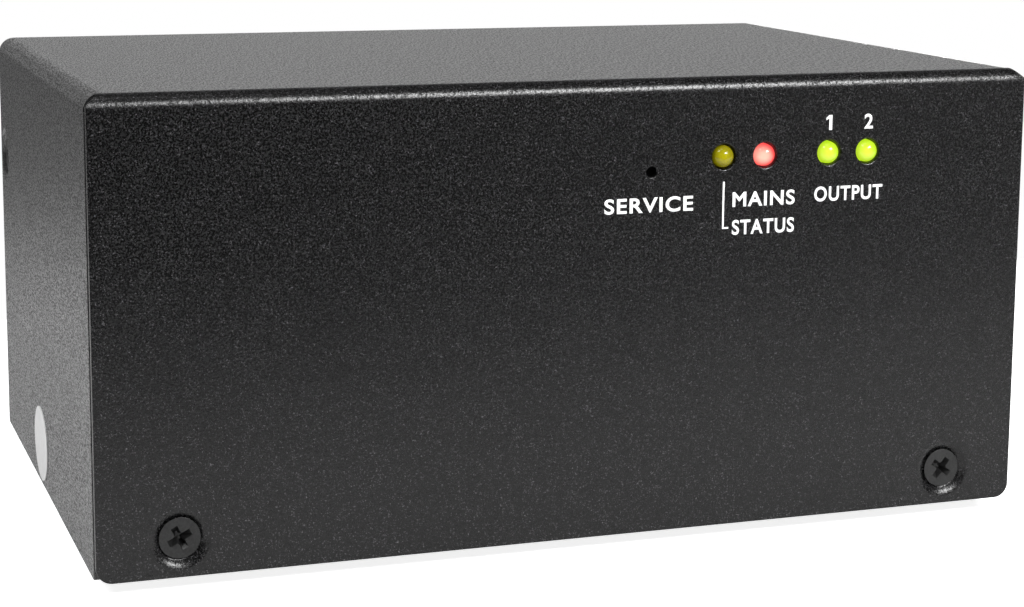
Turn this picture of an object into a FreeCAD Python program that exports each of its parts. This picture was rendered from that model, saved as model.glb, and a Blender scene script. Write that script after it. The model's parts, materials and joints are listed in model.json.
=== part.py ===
import FreeCAD, Part
import math
import os
from FreeCAD import Placement, Rotation, Vector

# A compact switched power distribution unit: a folded sheet-steel cover screwed over a folded chassis.
# A mains inlet with a fuse drawer, two outlets and a network jack sit in the rear panel, and two boards
# stand inside. Millimetres. X runs across the front, Y from front to rear, Z up from the table.

# Case
WIDTH = 127.0
DEPTH = 85.0
COVER_HEIGHT = 60.0
SHEET = 1.0
SIDE_BEND = 2.3
FRONT_BEND = 1.5
BASE_BEND = 1.5
BEND_RELIEF = 0.2
FRONT_CORNER = 2.0
SIDE_CORNER = 1.0
EAR_WIDTH = 0.45
EAR_HEIGHT = 1.15
FRONT_FLANGE_HEIGHT = 9.0
WING_LENGTH = 10.5
REAR_INSET = 0.5
PANEL_GAP = 0.5

# Feet and the blank oval sticker on the left side
FOOT_HEIGHT = 2.0
FOOT_SIZE = 9.0
FOOT_CHAMFER = 0.6
FOOT_INSET = 14.0
LABEL_LENGTH = 12.4
LABEL_HEIGHT = 10.4
LABEL_THICKNESS = 0.12
LABEL_BACK = 47.5
LABEL_RISE = 5.9

# Countersunk cover screws and the pressed dimples they sit in
SCREW_RADIUS = 1.5
SCREW_LENGTH = 5.0
HEAD_RADIUS = 2.7
DIMPLE_RADIUS = 3.2
SEAT_GAP = 0.05
HOLE_CLEARANCE = 0.1
THREAD_CLEARANCE = 0.05
FRONT_SCREW_INSET = 10.4
FRONT_SCREW_RISE = 4.9
SIDE_SCREW_BACK = 4.3
SIDE_SCREW_RISE = 42.7

# Lamps and the recessed button, with how far each stands in from the front's right end
LAMP_INSETS = {"status_led": 44.5, "mains_led": 38.6, "output_led_1": 29.3, "output_led_2": 23.6}
LAMP_DROP = 10.4
LAMP_RADIUS = 1.5
LAMP_LENGTH = 5.3
LAMP_PROUD = 0.8
LAMP_NOSE = 0.7
LAMP_CLEARANCE = 0.15
LAMP_ABOVE_BOARD = 5.1
HOLDER_WIDTH = 4.6
HOLDER_DEPTH = 4.5
HOLDER_CROWN = 2.3
HOLDER_CHAMFER = 1.0
BUTTON_INSET = 54.7
BUTTON_ABOVE_BOARD = 3.5
BUTTON_RADIUS = 1.7
BUTTON_REACH = 2.5
BUTTON_GAP = 0.8
BUTTON_TRAVEL = 0.25
BUTTON_CLEARANCE = 0.3
BUTTON_SUNK = 0.8
SWITCH_SIZE = 6.0
SWITCH_DEPTH = 3.6
PINHOLE_RADIUS = 0.75

# Boards and what holds them
BOARD = 1.6
BOARD_CLEARANCE = 1.5
CONTROL_GAP = 2.5
CONTROL_REAR_GAP = 0.5
STACK_INSET = 3.2
SPACER_HEIGHT = 4.0
SPACER_ACROSS = 5.0
BOARD_NUT_ACROSS = 5.5
BOARD_NUT_HEIGHT = 2.4

# Parts on the boards
PART_GAP = 1.5
PART_CHAMFER = 0.8
RELAY = (19.0, 15.5, 15.7)
SUPPLY_HEIGHT = 17.0
SUPPRESSOR = (18.0, 8.5, 14.0)
CAPACITOR_RADIUS = 5.0
CAPACITOR_HEIGHT = 16.0
CHIP_SIZE = 12.0
CHIP_HEIGHT = 1.6
CHIP_CHAMFER = 0.4
CHIP_BACK = 30.0
LINK_SOCKET = (16.0, 6.0, 8.0)
RIBBON_WIDTH = 12.7
RIBBON_THICKNESS = 0.9

# Rear connectors
CONNECTOR_FLANGE = 2.5
CONNECTOR_DEPTH = 24.0
CONNECTOR_CLEARANCE = 0.2
FLANGE_LAP = 1.75
FLANGE_ROUND = 2.5
CLIP_HEIGHT = 1.0
CLIP_LENGTH = 6.0
CLIP_WIDTH = 9.0
TAB_LENGTH = 6.0
TAB_THICKNESS = 0.8
TAB_WIDTH = 4.8
PIN_PITCH = 14.0
PIN_STAGGER = 4.0
PIN_THICKNESS = 2.0
PIN_WIDTH = 4.0
PIN_RECESS = 2.0
PIN_CHAMFER = 0.6
SOCKET_WIDTH = 24.0
SOCKET_HEIGHT = 16.4
SOCKET_CHAMFER = 4.5
SOCKET_DEPTH = 17.0
SOCKET_CLEARANCE = 0.3

# Inlet and its fuse drawer
INLET_WALL = 1.75
INLET_WEB = 2.0
DRAWER_WIDTH = 23.2
DRAWER_HEIGHT = 7.4
DRAWER_DEPTH = 20.0
DRAWER_WALL = 1.0
DRAWER_FRONT = 3.0
DRAWER_NOTCH_WIDTH = 7.0
DRAWER_NOTCH_HEIGHT = 1.6
DRAWER_NOTCH_DEPTH = 1.4
DRAWER_CLEARANCE = 0.3
SPARE_POCKET = 6.4
POCKET_WALL = 1.2
FUSE_RADIUS = 2.6
FUSE_LENGTH = 20.0
FUSE_CLEARANCE = 0.05
FUSE_LINK_WIDTH = 3.0

# Outlets: a core inside a shell, with a moat between them that takes the plug's shroud
OUTLET_WALL = 1.6
SHROUD = 2.3
CORE_RECESS = 1.0
MOAT_DEPTH = 15.0
SLOT_CLEARANCE = 0.3
SLOT_FACE = 3.0
CONTACT_LEAF = 0.5
CONTACT_LENGTH = 11.0

# Network jack
JACK_X = 16.0
JACK_WIDTH = 16.0
JACK_HEIGHT = 11.5
JACK_DEPTH = 21.0
JACK_PROUD = 0.8
JACK_CLEARANCE = 0.3
PORT_WIDTH = 11.8
PORT_HEIGHT = 6.8
PORT_SILL = 3.6
PORT_DEPTH = 13.0
KEY_WIDTH = 6.2
KEY_HEIGHT = 2.4
JACK_CONTACTS = 8
JACK_PITCH = 1.02
JACK_CONTACT = 0.45
JACK_CONTACT_DROP = 2.0
JACK_CONTACT_LENGTH = 8.0

# Earthing comb and the stamped strips that carry the mains to the power board
COMB_THICKNESS = 0.8
COMB_GAP = 2.0
COMB_WIDTH = 7.0
COMB_BAR = 6.0
COMB_FOOT = 12.0
STUD_RADIUS = 2.0
STUD_PROUD = 1.0
STUD_NUT_ACROSS = 7.0
STUD_NUT_HEIGHT = 3.2
STRIP_WIDTH = 4.0
LINE_REACH = 8.0
NEUTRAL_REACH = 14.0

TOUCH = 1e-6
INWARD_FRONT = Vector(0, 1, 0)
UP = Vector(0, 0, 1)

# Planes that the sizes above give
HALF = WIDTH / 2
EDGE = FOOT_HEIGHT
TOP = EDGE + COVER_HEIGHT
FLOOR_TOP = EDGE + SHEET
FRONT = (LAMP_PROUD + REAR_INSET - CONNECTOR_FLANGE - DEPTH) / 2
REAR = FRONT + DEPTH
PANEL_OUT = REAR - REAR_INSET
PANEL_IN = PANEL_OUT - SHEET
PANEL_TOP = TOP - SHEET - PANEL_GAP
FLANGE_FACE = PANEL_OUT + CONNECTOR_FLANGE
CONNECTOR_BACK = PANEL_IN - CONNECTOR_DEPTH
TAB_END = CONNECTOR_BACK - TAB_LENGTH
HOLE_RADIUS = SCREW_RADIUS + HOLE_CLEARANCE
THREAD_RADIUS = SCREW_RADIUS + THREAD_CLEARANCE
DIMPLE_DEPTH = DIMPLE_RADIUS - HOLE_RADIUS
CHASSIS_HALF = HALF - DIMPLE_DEPTH
CHASSIS_FRONT = FRONT + DIMPLE_DEPTH
HEAD_DROP = DIMPLE_RADIUS - HEAD_RADIUS - SEAT_GAP
SCREW_END = HEAD_DROP + SCREW_LENGTH

# Boards: the power board ends just ahead of the earthing comb, the control board carries the lamps
COMB_FRONT = CONNECTOR_BACK - COMB_GAP - COMB_THICKNESS
LAMP_Z = TOP - LAMP_DROP
LAMPS = {name: HALF - inset for name, inset in LAMP_INSETS.items()}
BUTTON_X = HALF - BUTTON_INSET
BOARD_HALF = HALF - SCREW_END - BOARD_CLEARANCE
POWER_TOP = FLOOR_TOP + SPACER_HEIGHT + BOARD
POWER_FRONT = FRONT + SCREW_END + BOARD_CLEARANCE
POWER_REAR = COMB_FRONT - BOARD_CLEARANCE
CONTROL_TOP = LAMP_Z - LAMP_ABOVE_BOARD
CONTROL_UNDER = CONTROL_TOP - BOARD
CONTROL_FRONT = FRONT + SHEET + CONTROL_GAP
CONTROL_REAR = PANEL_IN - CONTROL_REAR_GAP
STACK_X = BOARD_HALF - STACK_INSET
STACK_REAR = TAB_END - BOARD_CLEARANCE - SPACER_ACROSS / 2
STACK = [(x, y) for x in (-STACK_X, STACK_X) for y in (POWER_FRONT + STACK_INSET, STACK_REAR)]

# The row of connectors, left to right, with side margins twice the gap between them
INLET_BODY_WIDTH = DRAWER_WIDTH + 2 * DRAWER_CLEARANCE + 2 * INLET_WALL
CAVITY_HEIGHT = DRAWER_HEIGHT + 2 * DRAWER_CLEARANCE
INLET_BODY_HEIGHT = SOCKET_HEIGHT + INLET_WEB + CAVITY_HEIGHT + 2 * INLET_WALL
INLET_WIDTH = INLET_BODY_WIDTH + 2 * FLANGE_LAP
CORE_WIDTH = SOCKET_WIDTH - 2 * SOCKET_CLEARANCE
CORE_HEIGHT = SOCKET_HEIGHT - 2 * SOCKET_CLEARANCE
MOAT_WIDTH = SOCKET_WIDTH + 2 * SHROUD + 2 * SOCKET_CLEARANCE
MOAT_HEIGHT = SOCKET_HEIGHT + 2 * SHROUD + 2 * SOCKET_CLEARANCE
OUTLET_BODY_WIDTH = MOAT_WIDTH + 2 * OUTLET_WALL
OUTLET_BODY_HEIGHT = MOAT_HEIGHT + 2 * OUTLET_WALL
OUTLET_WIDTH = OUTLET_BODY_WIDTH + 2 * FLANGE_LAP
CONNECTOR_GAP = (WIDTH - INLET_WIDTH - 2 * OUTLET_WIDTH) / 6
INLET_X = 2 * CONNECTOR_GAP - HALF + INLET_WIDTH / 2
OUTLET_1_X = INLET_X + (INLET_WIDTH + OUTLET_WIDTH) / 2 + CONNECTOR_GAP
OUTLET_2_X = OUTLET_1_X + OUTLET_WIDTH + CONNECTOR_GAP
CONNECTOR_Z = (FLOOR_TOP + CONTROL_UNDER) / 2
SOCKET_Z = CONNECTOR_Z + (INLET_BODY_HEIGHT - SOCKET_HEIGHT) / 2 - INLET_WALL
DRAWER_Z = CONNECTOR_Z - (INLET_BODY_HEIGHT - CAVITY_HEIGHT) / 2 + INLET_WALL

# The tall parts stand between the board's front edge and the neutral strips
PARTS_END = TAB_END - NEUTRAL_REACH
PARTS_Y = (POWER_FRONT + PARTS_END) / 2
CAPACITOR_X = OUTLET_1_X - RELAY[0] / 2 - PART_GAP - CAPACITOR_RADIUS

# The fuse lies across the inner end of its drawer, just clear of its two contacts
DRAWER_END = FLANGE_FACE - DRAWER_DEPTH
FUSE_Y = DRAWER_END + FUSE_RADIUS
FUSE_Z = DRAWER_Z - DRAWER_HEIGHT / 2 + DRAWER_WALL + FUSE_RADIUS + FUSE_CLEARANCE
CAVITY_END = DRAWER_END - DRAWER_CLEARANCE


def round_corner(before, corner, after, radius):
    """Where a round of this radius leaves one side of a corner, turns, and meets the other side."""
    back = (before - corner).normalize()
    onward = (after - corner).normalize()
    half_angle = back.getAngle(onward) / 2
    reach = radius / math.tan(half_angle)
    centre = corner + (back + onward).normalize() * (radius / math.sin(half_angle))
    middle = centre + (corner - centre).normalize() * radius
    return corner + back * reach, middle, corner + onward * reach


def on_plane(point, plane, level):
    """A flat point set on the xy, xz or yz plane, at its level along the third axis."""
    if plane == "xy":
        return Vector(point.x, point.y, level)
    if plane == "xz":
        return Vector(point.x, level, point.y)
    return Vector(level, point.x, point.y)


def outline(corners, plane, level):
    """A closed wire through (u, v, radius) corners, each rounded by its own radius."""
    points = [Vector(u, v, 0) for u, v, _ in corners]
    turns = []
    for i, (_, _, radius) in enumerate(corners):
        after = points[(i + 1) % len(points)]
        sharp = (points[i], points[i], points[i])
        turns.append(round_corner(points[i - 1], points[i], after, radius) if radius else sharp)
    edges = []
    for i, turn in enumerate(turns):
        entry, middle, leave = [on_plane(point, plane, level) for point in turn]
        previous = on_plane(turns[i - 1][2], plane, level)
        if previous.distanceToPoint(entry) > TOUCH:
            edges.append(Part.LineSegment(previous, entry).toShape())
        if entry.distanceToPoint(leave) > TOUCH:
            edges.append(Part.Arc(entry, middle, leave).toShape())
    return Part.Wire(edges)


def prism(corners, plane, start, end):
    """An outline drawn out from start to end along the axis across its plane."""
    across = on_plane(Vector(), plane, 1.0)
    return Part.Face(outline(corners, plane, start)).extrude(across * (end - start))


def turned(profile, base, direction):
    """A turned solid: (radius, height, round) corners about an axis that leaves base along direction."""
    solid = Part.Face(outline(profile, "xz", 0)).revolve(Vector(), UP, 360)
    solid.Placement = Placement(base, Rotation(UP, direction))
    return solid


def rod(radius, length, base, direction):
    """A plain round bar or hole."""
    return Part.makeCylinder(radius, length, base, direction)


def block(x, y, z):
    """A box from its (low, high) limits on each axis."""
    return Part.makeBox(x[1] - x[0], y[1] - y[0], z[1] - z[0], Vector(x[0], y[0], z[0]))


def around(centre, size):
    """The (low, high) limits of a size about a centre."""
    return centre - size / 2, centre + size / 2


def rectangle(u, v, width, height, radius):
    """Corners of a rectangle about a centre, all with one radius."""
    u0, u1 = around(u, width)
    v0, v1 = around(v, height)
    return [(u0, v0, radius), (u1, v0, radius), (u1, v1, radius), (u0, v1, radius)]


def connector_outline(x, z, width, height, chamfer):
    """The mains connector's outline: a rectangle with its two upper corners cut off."""
    x0, x1 = around(x, width)
    z0, z1 = around(z, height)
    return [(x0, z0, 0), (x1, z0, 0), (x1, z1 - chamfer, 0), (x1 - chamfer, z1, 0),
            (x0 + chamfer, z1, 0), (x0, z1 - chamfer, 0)]


def hexagon(x, y, across):
    """Corners of a hexagon with this size across its flats."""
    reach = across / math.sqrt(3)
    turns = [math.radians(60 * i) for i in range(6)]
    return [(x + reach * math.cos(turn), y + reach * math.sin(turn), 0) for turn in turns]


def chamfered_block(x, y, z, chamfer, level):
    """A moulded case: a box whose four edges at one level, its top or its bottom, are cut off."""
    solid = block(x, y, z)
    edges = [edge for edge in solid.Edges if max(abs(v.Z - level) for v in edge.Vertexes) < TOUCH]
    return solid.makeChamfer(chamfer, edges)


def screw_places():
    """Each cover screw: the point where its axis meets the cover's outer face, and its way in."""
    front_z = EDGE + FRONT_SCREW_RISE
    side_y = REAR - SIDE_SCREW_BACK
    side_z = EDGE + SIDE_SCREW_RISE
    front_x = HALF - FRONT_SCREW_INSET
    return [
        (Vector(-front_x, FRONT, front_z), INWARD_FRONT),
        (Vector(front_x, FRONT, front_z), INWARD_FRONT),
        (Vector(-HALF, side_y, side_z), Vector(1, 0, 0)),
        (Vector(HALF, side_y, side_z), Vector(-1, 0, 0)),
    ]


def pin_places(x, z):
    """The three pins of a mains connector: line, neutral and the raised earth between them."""
    return {
        "line": (x - PIN_PITCH / 2, z - PIN_STAGGER / 2),
        "neutral": (x + PIN_PITCH / 2, z - PIN_STAGGER / 2),
        "earth": (x, z + PIN_STAGGER / 2),
    }


def cover_top_and_sides():
    """The top with both sides folded down from it."""
    inner = SIDE_BEND - SHEET
    start = FRONT + FRONT_BEND + 2 * BEND_RELIEF
    inside = HALF - SHEET
    under = TOP - SHEET
    arch = prism([
        (-HALF, EDGE, 0), (-HALF, TOP, SIDE_BEND), (HALF, TOP, SIDE_BEND), (HALF, EDGE, 0),
        (inside, EDGE, 0), (inside, under, inner), (-inside, under, inner), (-inside, EDGE, 0),
    ], "xz", start, REAR)
    toes = [edge for edge in arch.Edges
            if max(abs(v.Y - start) + abs(v.Z - EDGE) for v in edge.Vertexes) < TOUCH]
    return arch.makeFillet(SIDE_CORNER, toes)


def cover_front():
    """The front folded down over its full width, with small cut corners beside the top bend."""
    strip_end = FRONT + FRONT_BEND + BEND_RELIEF
    fold = prism([
        (FRONT, EDGE, 0), (FRONT, TOP, FRONT_BEND), (strip_end, TOP, 0), (strip_end, TOP - SHEET, 0),
        (FRONT + SHEET, TOP - SHEET, FRONT_BEND - SHEET), (FRONT + SHEET, EDGE, 0),
    ], "yz", -HALF, HALF)
    blank = prism([
        (-HALF, EDGE, FRONT_CORNER), (-HALF, TOP - EAR_HEIGHT, 0), (-HALF + EAR_WIDTH, TOP, 0),
        (HALF - EAR_WIDTH, TOP, 0), (HALF, TOP - EAR_HEIGHT, 0), (HALF, EDGE, FRONT_CORNER),
    ], "xz", FRONT, strip_end)
    tongue_half = HALF - SIDE_BEND
    tongue_end = strip_end + 2 * BEND_RELIEF
    tongue = block((-tongue_half, tongue_half), (strip_end, tongue_end), (TOP - SHEET, TOP))
    return fold.common(blank).fuse(tongue)


def dimple_back(base, inward):
    """The pressed metal behind a dimple, ending in the flat land that seats on the chassis."""
    return rod(DIMPLE_RADIUS, DIMPLE_DEPTH - SHEET, base + inward * SHEET, inward)


def dimple_cut(base, inward):
    """The countersunk hollow of a dimple, down to its screw hole."""
    return Part.makeCone(DIMPLE_RADIUS, HOLE_RADIUS, DIMPLE_DEPTH, base, inward)


def cover():
    """One folded sheet: top, front and both sides, with dimples, lamp holes and the button's pinhole."""
    solid = cover_top_and_sides().fuse(cover_front())
    for base, inward in screw_places():
        solid = solid.fuse(dimple_back(base, inward)).cut(dimple_cut(base, inward))
    for x in LAMPS.values():
        solid = solid.cut(rod(LAMP_RADIUS + LAMP_CLEARANCE, SHEET, Vector(x, FRONT, LAMP_Z), INWARD_FRONT))
    button_z = CONTROL_TOP + BUTTON_ABOVE_BOARD
    pinhole = rod(PINHOLE_RADIUS, SHEET, Vector(BUTTON_X, FRONT, button_z), INWARD_FRONT)
    return solid.cut(pinhole).removeSplitter()


def chassis_tray():
    """Floor, low front flange and rear panel, folded from one sheet, notched where the wings fold."""
    inner = BASE_BEND - SHEET
    flange_top = EDGE + FRONT_FLANGE_HEIGHT
    tray = prism([
        (CHASSIS_FRONT, flange_top, 0), (CHASSIS_FRONT, EDGE, BASE_BEND), (PANEL_OUT, EDGE, BASE_BEND),
        (PANEL_OUT, PANEL_TOP, 0), (PANEL_IN, PANEL_TOP, 0), (PANEL_IN, FLOOR_TOP, inner),
        (CHASSIS_FRONT + SHEET, FLOOR_TOP, inner), (CHASSIS_FRONT + SHEET, flange_top, 0),
    ], "yz", -CHASSIS_HALF, CHASSIS_HALF)
    notch_y = (PANEL_OUT - BASE_BEND - BEND_RELIEF, PANEL_OUT)
    for side in (-1, 1):
        notch_x = sorted((side * (CHASSIS_HALF - BASE_BEND), side * CHASSIS_HALF))
        tray = tray.cut(block(notch_x, notch_y, (EDGE, PANEL_TOP)))
    return tray


def chassis_wing(side):
    """A flange folded forward from one end of the rear panel, behind the cover's side."""
    outer = side * CHASSIS_HALF
    inner = outer - side * SHEET
    root = outer - side * (BASE_BEND + BEND_RELIEF)
    tip = PANEL_OUT - WING_LENGTH
    return prism([
        (outer, tip, 0), (outer, PANEL_OUT, BASE_BEND), (root, PANEL_OUT, 0), (root, PANEL_IN, 0),
        (inner, PANEL_IN, BASE_BEND - SHEET), (inner, tip, 0),
    ], "xy", EDGE + BASE_BEND + BEND_RELIEF, PANEL_TOP)


def connector_holes():
    """The openings in the rear panel for the inlet, both outlets and the network jack."""
    fit = 2 * CONNECTOR_CLEARANCE
    spots = [(INLET_X, INLET_BODY_WIDTH, INLET_BODY_HEIGHT)]
    spots += [(x, OUTLET_BODY_WIDTH, OUTLET_BODY_HEIGHT) for x in (OUTLET_1_X, OUTLET_2_X)]
    holes = [block(around(x, width + fit), (PANEL_IN, PANEL_OUT), around(CONNECTOR_Z, height + fit))
             for x, width, height in spots]
    jack_x = around(JACK_X, JACK_WIDTH + 2 * JACK_CLEARANCE)
    jack_z = (CONTROL_TOP - JACK_CLEARANCE, CONTROL_TOP + JACK_HEIGHT + JACK_CLEARANCE)
    return holes + [block(jack_x, (PANEL_IN, PANEL_OUT), jack_z)]


def chassis():
    """One folded sheet: floor, front flange, rear panel and two wings, with tapped holes for the screws."""
    solid = chassis_tray().fuse([chassis_wing(-1), chassis_wing(1)])
    holes = [rod(THREAD_RADIUS, SHEET, base + inward * DIMPLE_DEPTH, inward)
             for base, inward in screw_places()]
    return solid.cut(holes + connector_holes()).removeSplitter()


def cover_screw(base, inward):
    """A countersunk screw, its head just below the cover's face."""
    cone_end = HEAD_DROP + HEAD_RADIUS - SCREW_RADIUS
    return turned([(0, HEAD_DROP, 0), (HEAD_RADIUS, HEAD_DROP, 0), (SCREW_RADIUS, cone_end, 0),
                   (SCREW_RADIUS, SCREW_END, 0), (0, SCREW_END, 0)], base, inward)


def rubber_feet():
    """Four low square feet stuck under the chassis floor."""
    reach = HALF - FOOT_INSET
    return [chamfered_block(around(x, FOOT_SIZE), around(y, FOOT_SIZE), (0, FOOT_HEIGHT), FOOT_CHAMFER, 0)
            for x in (-reach, reach) for y in (FRONT + FOOT_INSET, REAR - FOOT_INSET)]


def side_label():
    """A blank oval paper sticker, low on the left side."""
    oval = Part.Ellipse(Vector(), LABEL_LENGTH / 2, LABEL_HEIGHT / 2).toShape()
    solid = Part.Face(Part.Wire([oval])).extrude(UP * LABEL_THICKNESS)
    turn = Rotation(Vector(0, 1, 0), UP, Vector(-1, 0, 0), "ZXY")
    solid.Placement = Placement(Vector(-HALF, FRONT + LABEL_BACK, EDGE + LABEL_RISE), turn)
    return solid


def board(y, top):
    """A circuit board across the case."""
    return block((-BOARD_HALF, BOARD_HALF), y, (top - BOARD, top))


def hexagon_posts(across, low, high):
    """A hexagonal spacer, pillar or nut at each corner of the board stack."""
    return [prism(hexagon(x, y, across), "xy", low, high) for x, y in STACK]


def lamp(x):
    """A round-nosed indicator lamp that looks out of the front."""
    tip = Vector(x, FRONT - LAMP_PROUD, LAMP_Z)
    return turned([(0, 0, 0), (LAMP_RADIUS - LAMP_NOSE, 0, 0), (LAMP_RADIUS, LAMP_NOSE, 0),
                   (LAMP_RADIUS, LAMP_LENGTH, 0), (0, LAMP_LENGTH, 0)], tip, INWARD_FRONT)


def lamp_holders():
    """Plastic blocks on the control board that hold the lamps level."""
    near = FRONT - LAMP_PROUD + LAMP_LENGTH
    crown = LAMP_Z + HOLDER_CROWN
    return [chamfered_block(around(x, HOLDER_WIDTH), (near, near + HOLDER_DEPTH), (CONTROL_TOP, crown),
                            HOLDER_CHAMFER, crown) for x in LAMPS.values()]


def button_front():
    """The y of the switch's front plate, behind the plunger's reach."""
    return FRONT + SHEET + BUTTON_GAP + BUTTON_REACH


def switch_body():
    """An upright push switch on the control board, with a hollow that the plunger slides in."""
    near = button_front()
    axis_z = CONTROL_TOP + BUTTON_ABOVE_BOARD
    top = axis_z + SWITCH_SIZE / 2
    body = block(around(BUTTON_X, SWITCH_SIZE), (near, near + SWITCH_DEPTH), (CONTROL_TOP, top))
    hollow = BUTTON_SUNK + BUTTON_TRAVEL + BUTTON_CLEARANCE
    mouth = rod(BUTTON_RADIUS + BUTTON_CLEARANCE, hollow, Vector(BUTTON_X, near, axis_z), INWARD_FRONT)
    return body.cut(mouth)


def button_plunger():
    """The sprung plunger, reached with a pin through the front."""
    tip = Vector(BUTTON_X, FRONT + SHEET + BUTTON_GAP, CONTROL_TOP + BUTTON_ABOVE_BOARD)
    return rod(BUTTON_RADIUS, BUTTON_REACH + BUTTON_SUNK, tip, INWARD_FRONT)


def on_power_board(x, y, height):
    """A moulded part standing on the power board, from its limits across and along."""
    crown = POWER_TOP + height
    return chamfered_block(x, y, (POWER_TOP, crown), PART_CHAMFER, crown)


def relay(x):
    """The relay that switches the outlet behind it."""
    width, depth, height = RELAY
    return on_power_board(around(x, width), around(PARTS_Y, depth), height)


def suppressor():
    """The mains suppressor, at the board's front edge beside the left pillar."""
    width, depth, height = SUPPRESSOR
    side = SPACER_ACROSS / math.sqrt(3) + PART_GAP - STACK_X
    near = POWER_FRONT + PART_GAP
    return on_power_board((side, side + width), (near, near + depth), height)


def supply_module():
    """The potted supply, behind the suppressor and left of the capacitor."""
    x = (PART_GAP - BOARD_HALF, CAPACITOR_X - CAPACITOR_RADIUS - PART_GAP)
    y = (POWER_FRONT + SUPPRESSOR[1] + 2 * PART_GAP, PARTS_END - PART_GAP)
    return on_power_board(x, y, SUPPLY_HEIGHT)


def smoothing_capacitor():
    """A can capacitor between the supply module and the first relay."""
    return rod(CAPACITOR_RADIUS, CAPACITOR_HEIGHT, Vector(CAPACITOR_X, PARTS_Y, POWER_TOP), UP)


def control_chip():
    """The controller chip on the control board."""
    y = around(CONTROL_FRONT + CHIP_BACK, CHIP_SIZE)
    crown = CONTROL_TOP + CHIP_HEIGHT
    return chamfered_block(around(0, CHIP_SIZE), y, (CONTROL_TOP, crown), CHIP_CHAMFER, crown)


def link_place():
    """Where the two boards are linked: between the relays."""
    return (OUTLET_1_X + OUTLET_2_X) / 2, PARTS_Y


def link_sockets():
    """A socket on the power board and one under the control board, facing each other."""
    place = link_place()
    width, depth, height = LINK_SOCKET
    x = around(place[0], width)
    y = around(place[1], depth)
    return {
        "lower_link_socket": block(x, y, (POWER_TOP, POWER_TOP + height)),
        "upper_link_socket": block(x, y, (CONTROL_UNDER - height, CONTROL_UNDER)),
    }


def link_ribbon():
    """The flat cable between the sockets."""
    x, y = link_place()
    height = LINK_SOCKET[2]
    span = (POWER_TOP + height, CONTROL_UNDER - height)
    return block(around(x, RIBBON_WIDTH), around(y, RIBBON_THICKNESS), span)


def snap_clips(x, body_width):
    """Ramped clips on both sides of a connector, seated behind the rear panel."""
    z0, z1 = around(CONNECTOR_Z, CLIP_WIDTH)
    clips = []
    for side in (-1, 1):
        wall = x + side * body_width / 2
        root = wall - side * CLIP_HEIGHT
        end = PANEL_IN - CLIP_LENGTH
        ramp = [(root, PANEL_IN, 0), (wall + side * CLIP_HEIGHT, PANEL_IN, 0), (wall, end, 0), (root, end, 0)]
        clips.append(prism(ramp, "xy", z0, z1))
    return clips


def connector_body(x, width, height):
    """The moulded block behind a connector's flange, with its snap clips."""
    trunk = block(around(x, width), (CONNECTOR_BACK, PANEL_OUT), around(CONNECTOR_Z, height))
    lap = 2 * FLANGE_LAP
    edge = rectangle(x, CONNECTOR_Z, width + lap, height + lap, FLANGE_ROUND)
    flange = prism(edge, "xz", PANEL_OUT, FLANGE_FACE)
    return trunk.fuse([flange] + snap_clips(x, width))


def inlet_pin(x, z):
    """One inlet pin: a chamfered blade in the socket that ends in a flat tab behind."""
    tip = FLANGE_FACE - PIN_RECESS
    half = PIN_THICKNESS / 2
    tab_half = TAB_THICKNESS / 2
    profile = [
        (x - tab_half, TAB_END, 0), (x + tab_half, TAB_END, 0), (x + tab_half, CONNECTOR_BACK, 0),
        (x + half, CONNECTOR_BACK, 0), (x + half, tip - PIN_CHAMFER, 0), (x + half - PIN_CHAMFER, tip, 0),
        (x - half + PIN_CHAMFER, tip, 0), (x - half, tip - PIN_CHAMFER, 0), (x - half, CONNECTOR_BACK, 0),
        (x - tab_half, CONNECTOR_BACK, 0),
    ]
    return prism(profile, "xy", z - PIN_WIDTH / 2, z + PIN_WIDTH / 2)


def inlet_pins():
    """Line, neutral and earth pins of the inlet."""
    return [inlet_pin(x, z) for x, z in pin_places(INLET_X, SOCKET_Z).values()]


def fuse_contacts():
    """Two flat contacts at the end of the drawer's cavity, with tabs behind the inlet."""
    solids = []
    for side in (-1, 1):
        x = INLET_X + side * PIN_PITCH / 2
        blade = block(around(x, TAB_THICKNESS), (TAB_END, CAVITY_END), around(DRAWER_Z, TAB_WIDTH))
        solids.append(blade)
    return solids


def mains_inlet():
    """The inlet's moulding: a socket for the lead's plug over a cavity for the fuse drawer."""
    body = connector_body(INLET_X, INLET_BODY_WIDTH, INLET_BODY_HEIGHT)
    socket = prism(connector_outline(INLET_X, SOCKET_Z, SOCKET_WIDTH, SOCKET_HEIGHT, SOCKET_CHAMFER), "xz",
                   FLANGE_FACE - SOCKET_DEPTH, FLANGE_FACE)
    cavity_width = DRAWER_WIDTH + 2 * DRAWER_CLEARANCE
    cavity = block(around(INLET_X, cavity_width), (CAVITY_END, FLANGE_FACE), around(DRAWER_Z, CAVITY_HEIGHT))
    return body.cut([socket, cavity] + inlet_pins() + fuse_contacts())


def fuse_drawer():
    """The drawer: a front with a finger notch, a pocket for a spare and a cradle for the fuse."""
    x = around(INLET_X, DRAWER_WIDTH)
    z0, z1 = around(DRAWER_Z, DRAWER_HEIGHT)
    tray = block(x, (DRAWER_END, FLANGE_FACE), (z0, z1))
    inner = around(INLET_X, DRAWER_WIDTH - 2 * DRAWER_WALL)
    pocket_end = FLANGE_FACE - DRAWER_FRONT
    pocket = block(inner, (pocket_end - SPARE_POCKET, pocket_end), (z0 + DRAWER_WALL, z1))
    cradle = block(inner, (DRAWER_END, pocket_end - SPARE_POCKET - POCKET_WALL), (z0 + DRAWER_WALL, z1))
    notch = block(around(INLET_X, DRAWER_NOTCH_WIDTH), (FLANGE_FACE - DRAWER_NOTCH_DEPTH, FLANGE_FACE),
                  (z1 - DRAWER_NOTCH_HEIGHT, z1))
    return tray.cut([pocket, cradle, notch])


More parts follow.
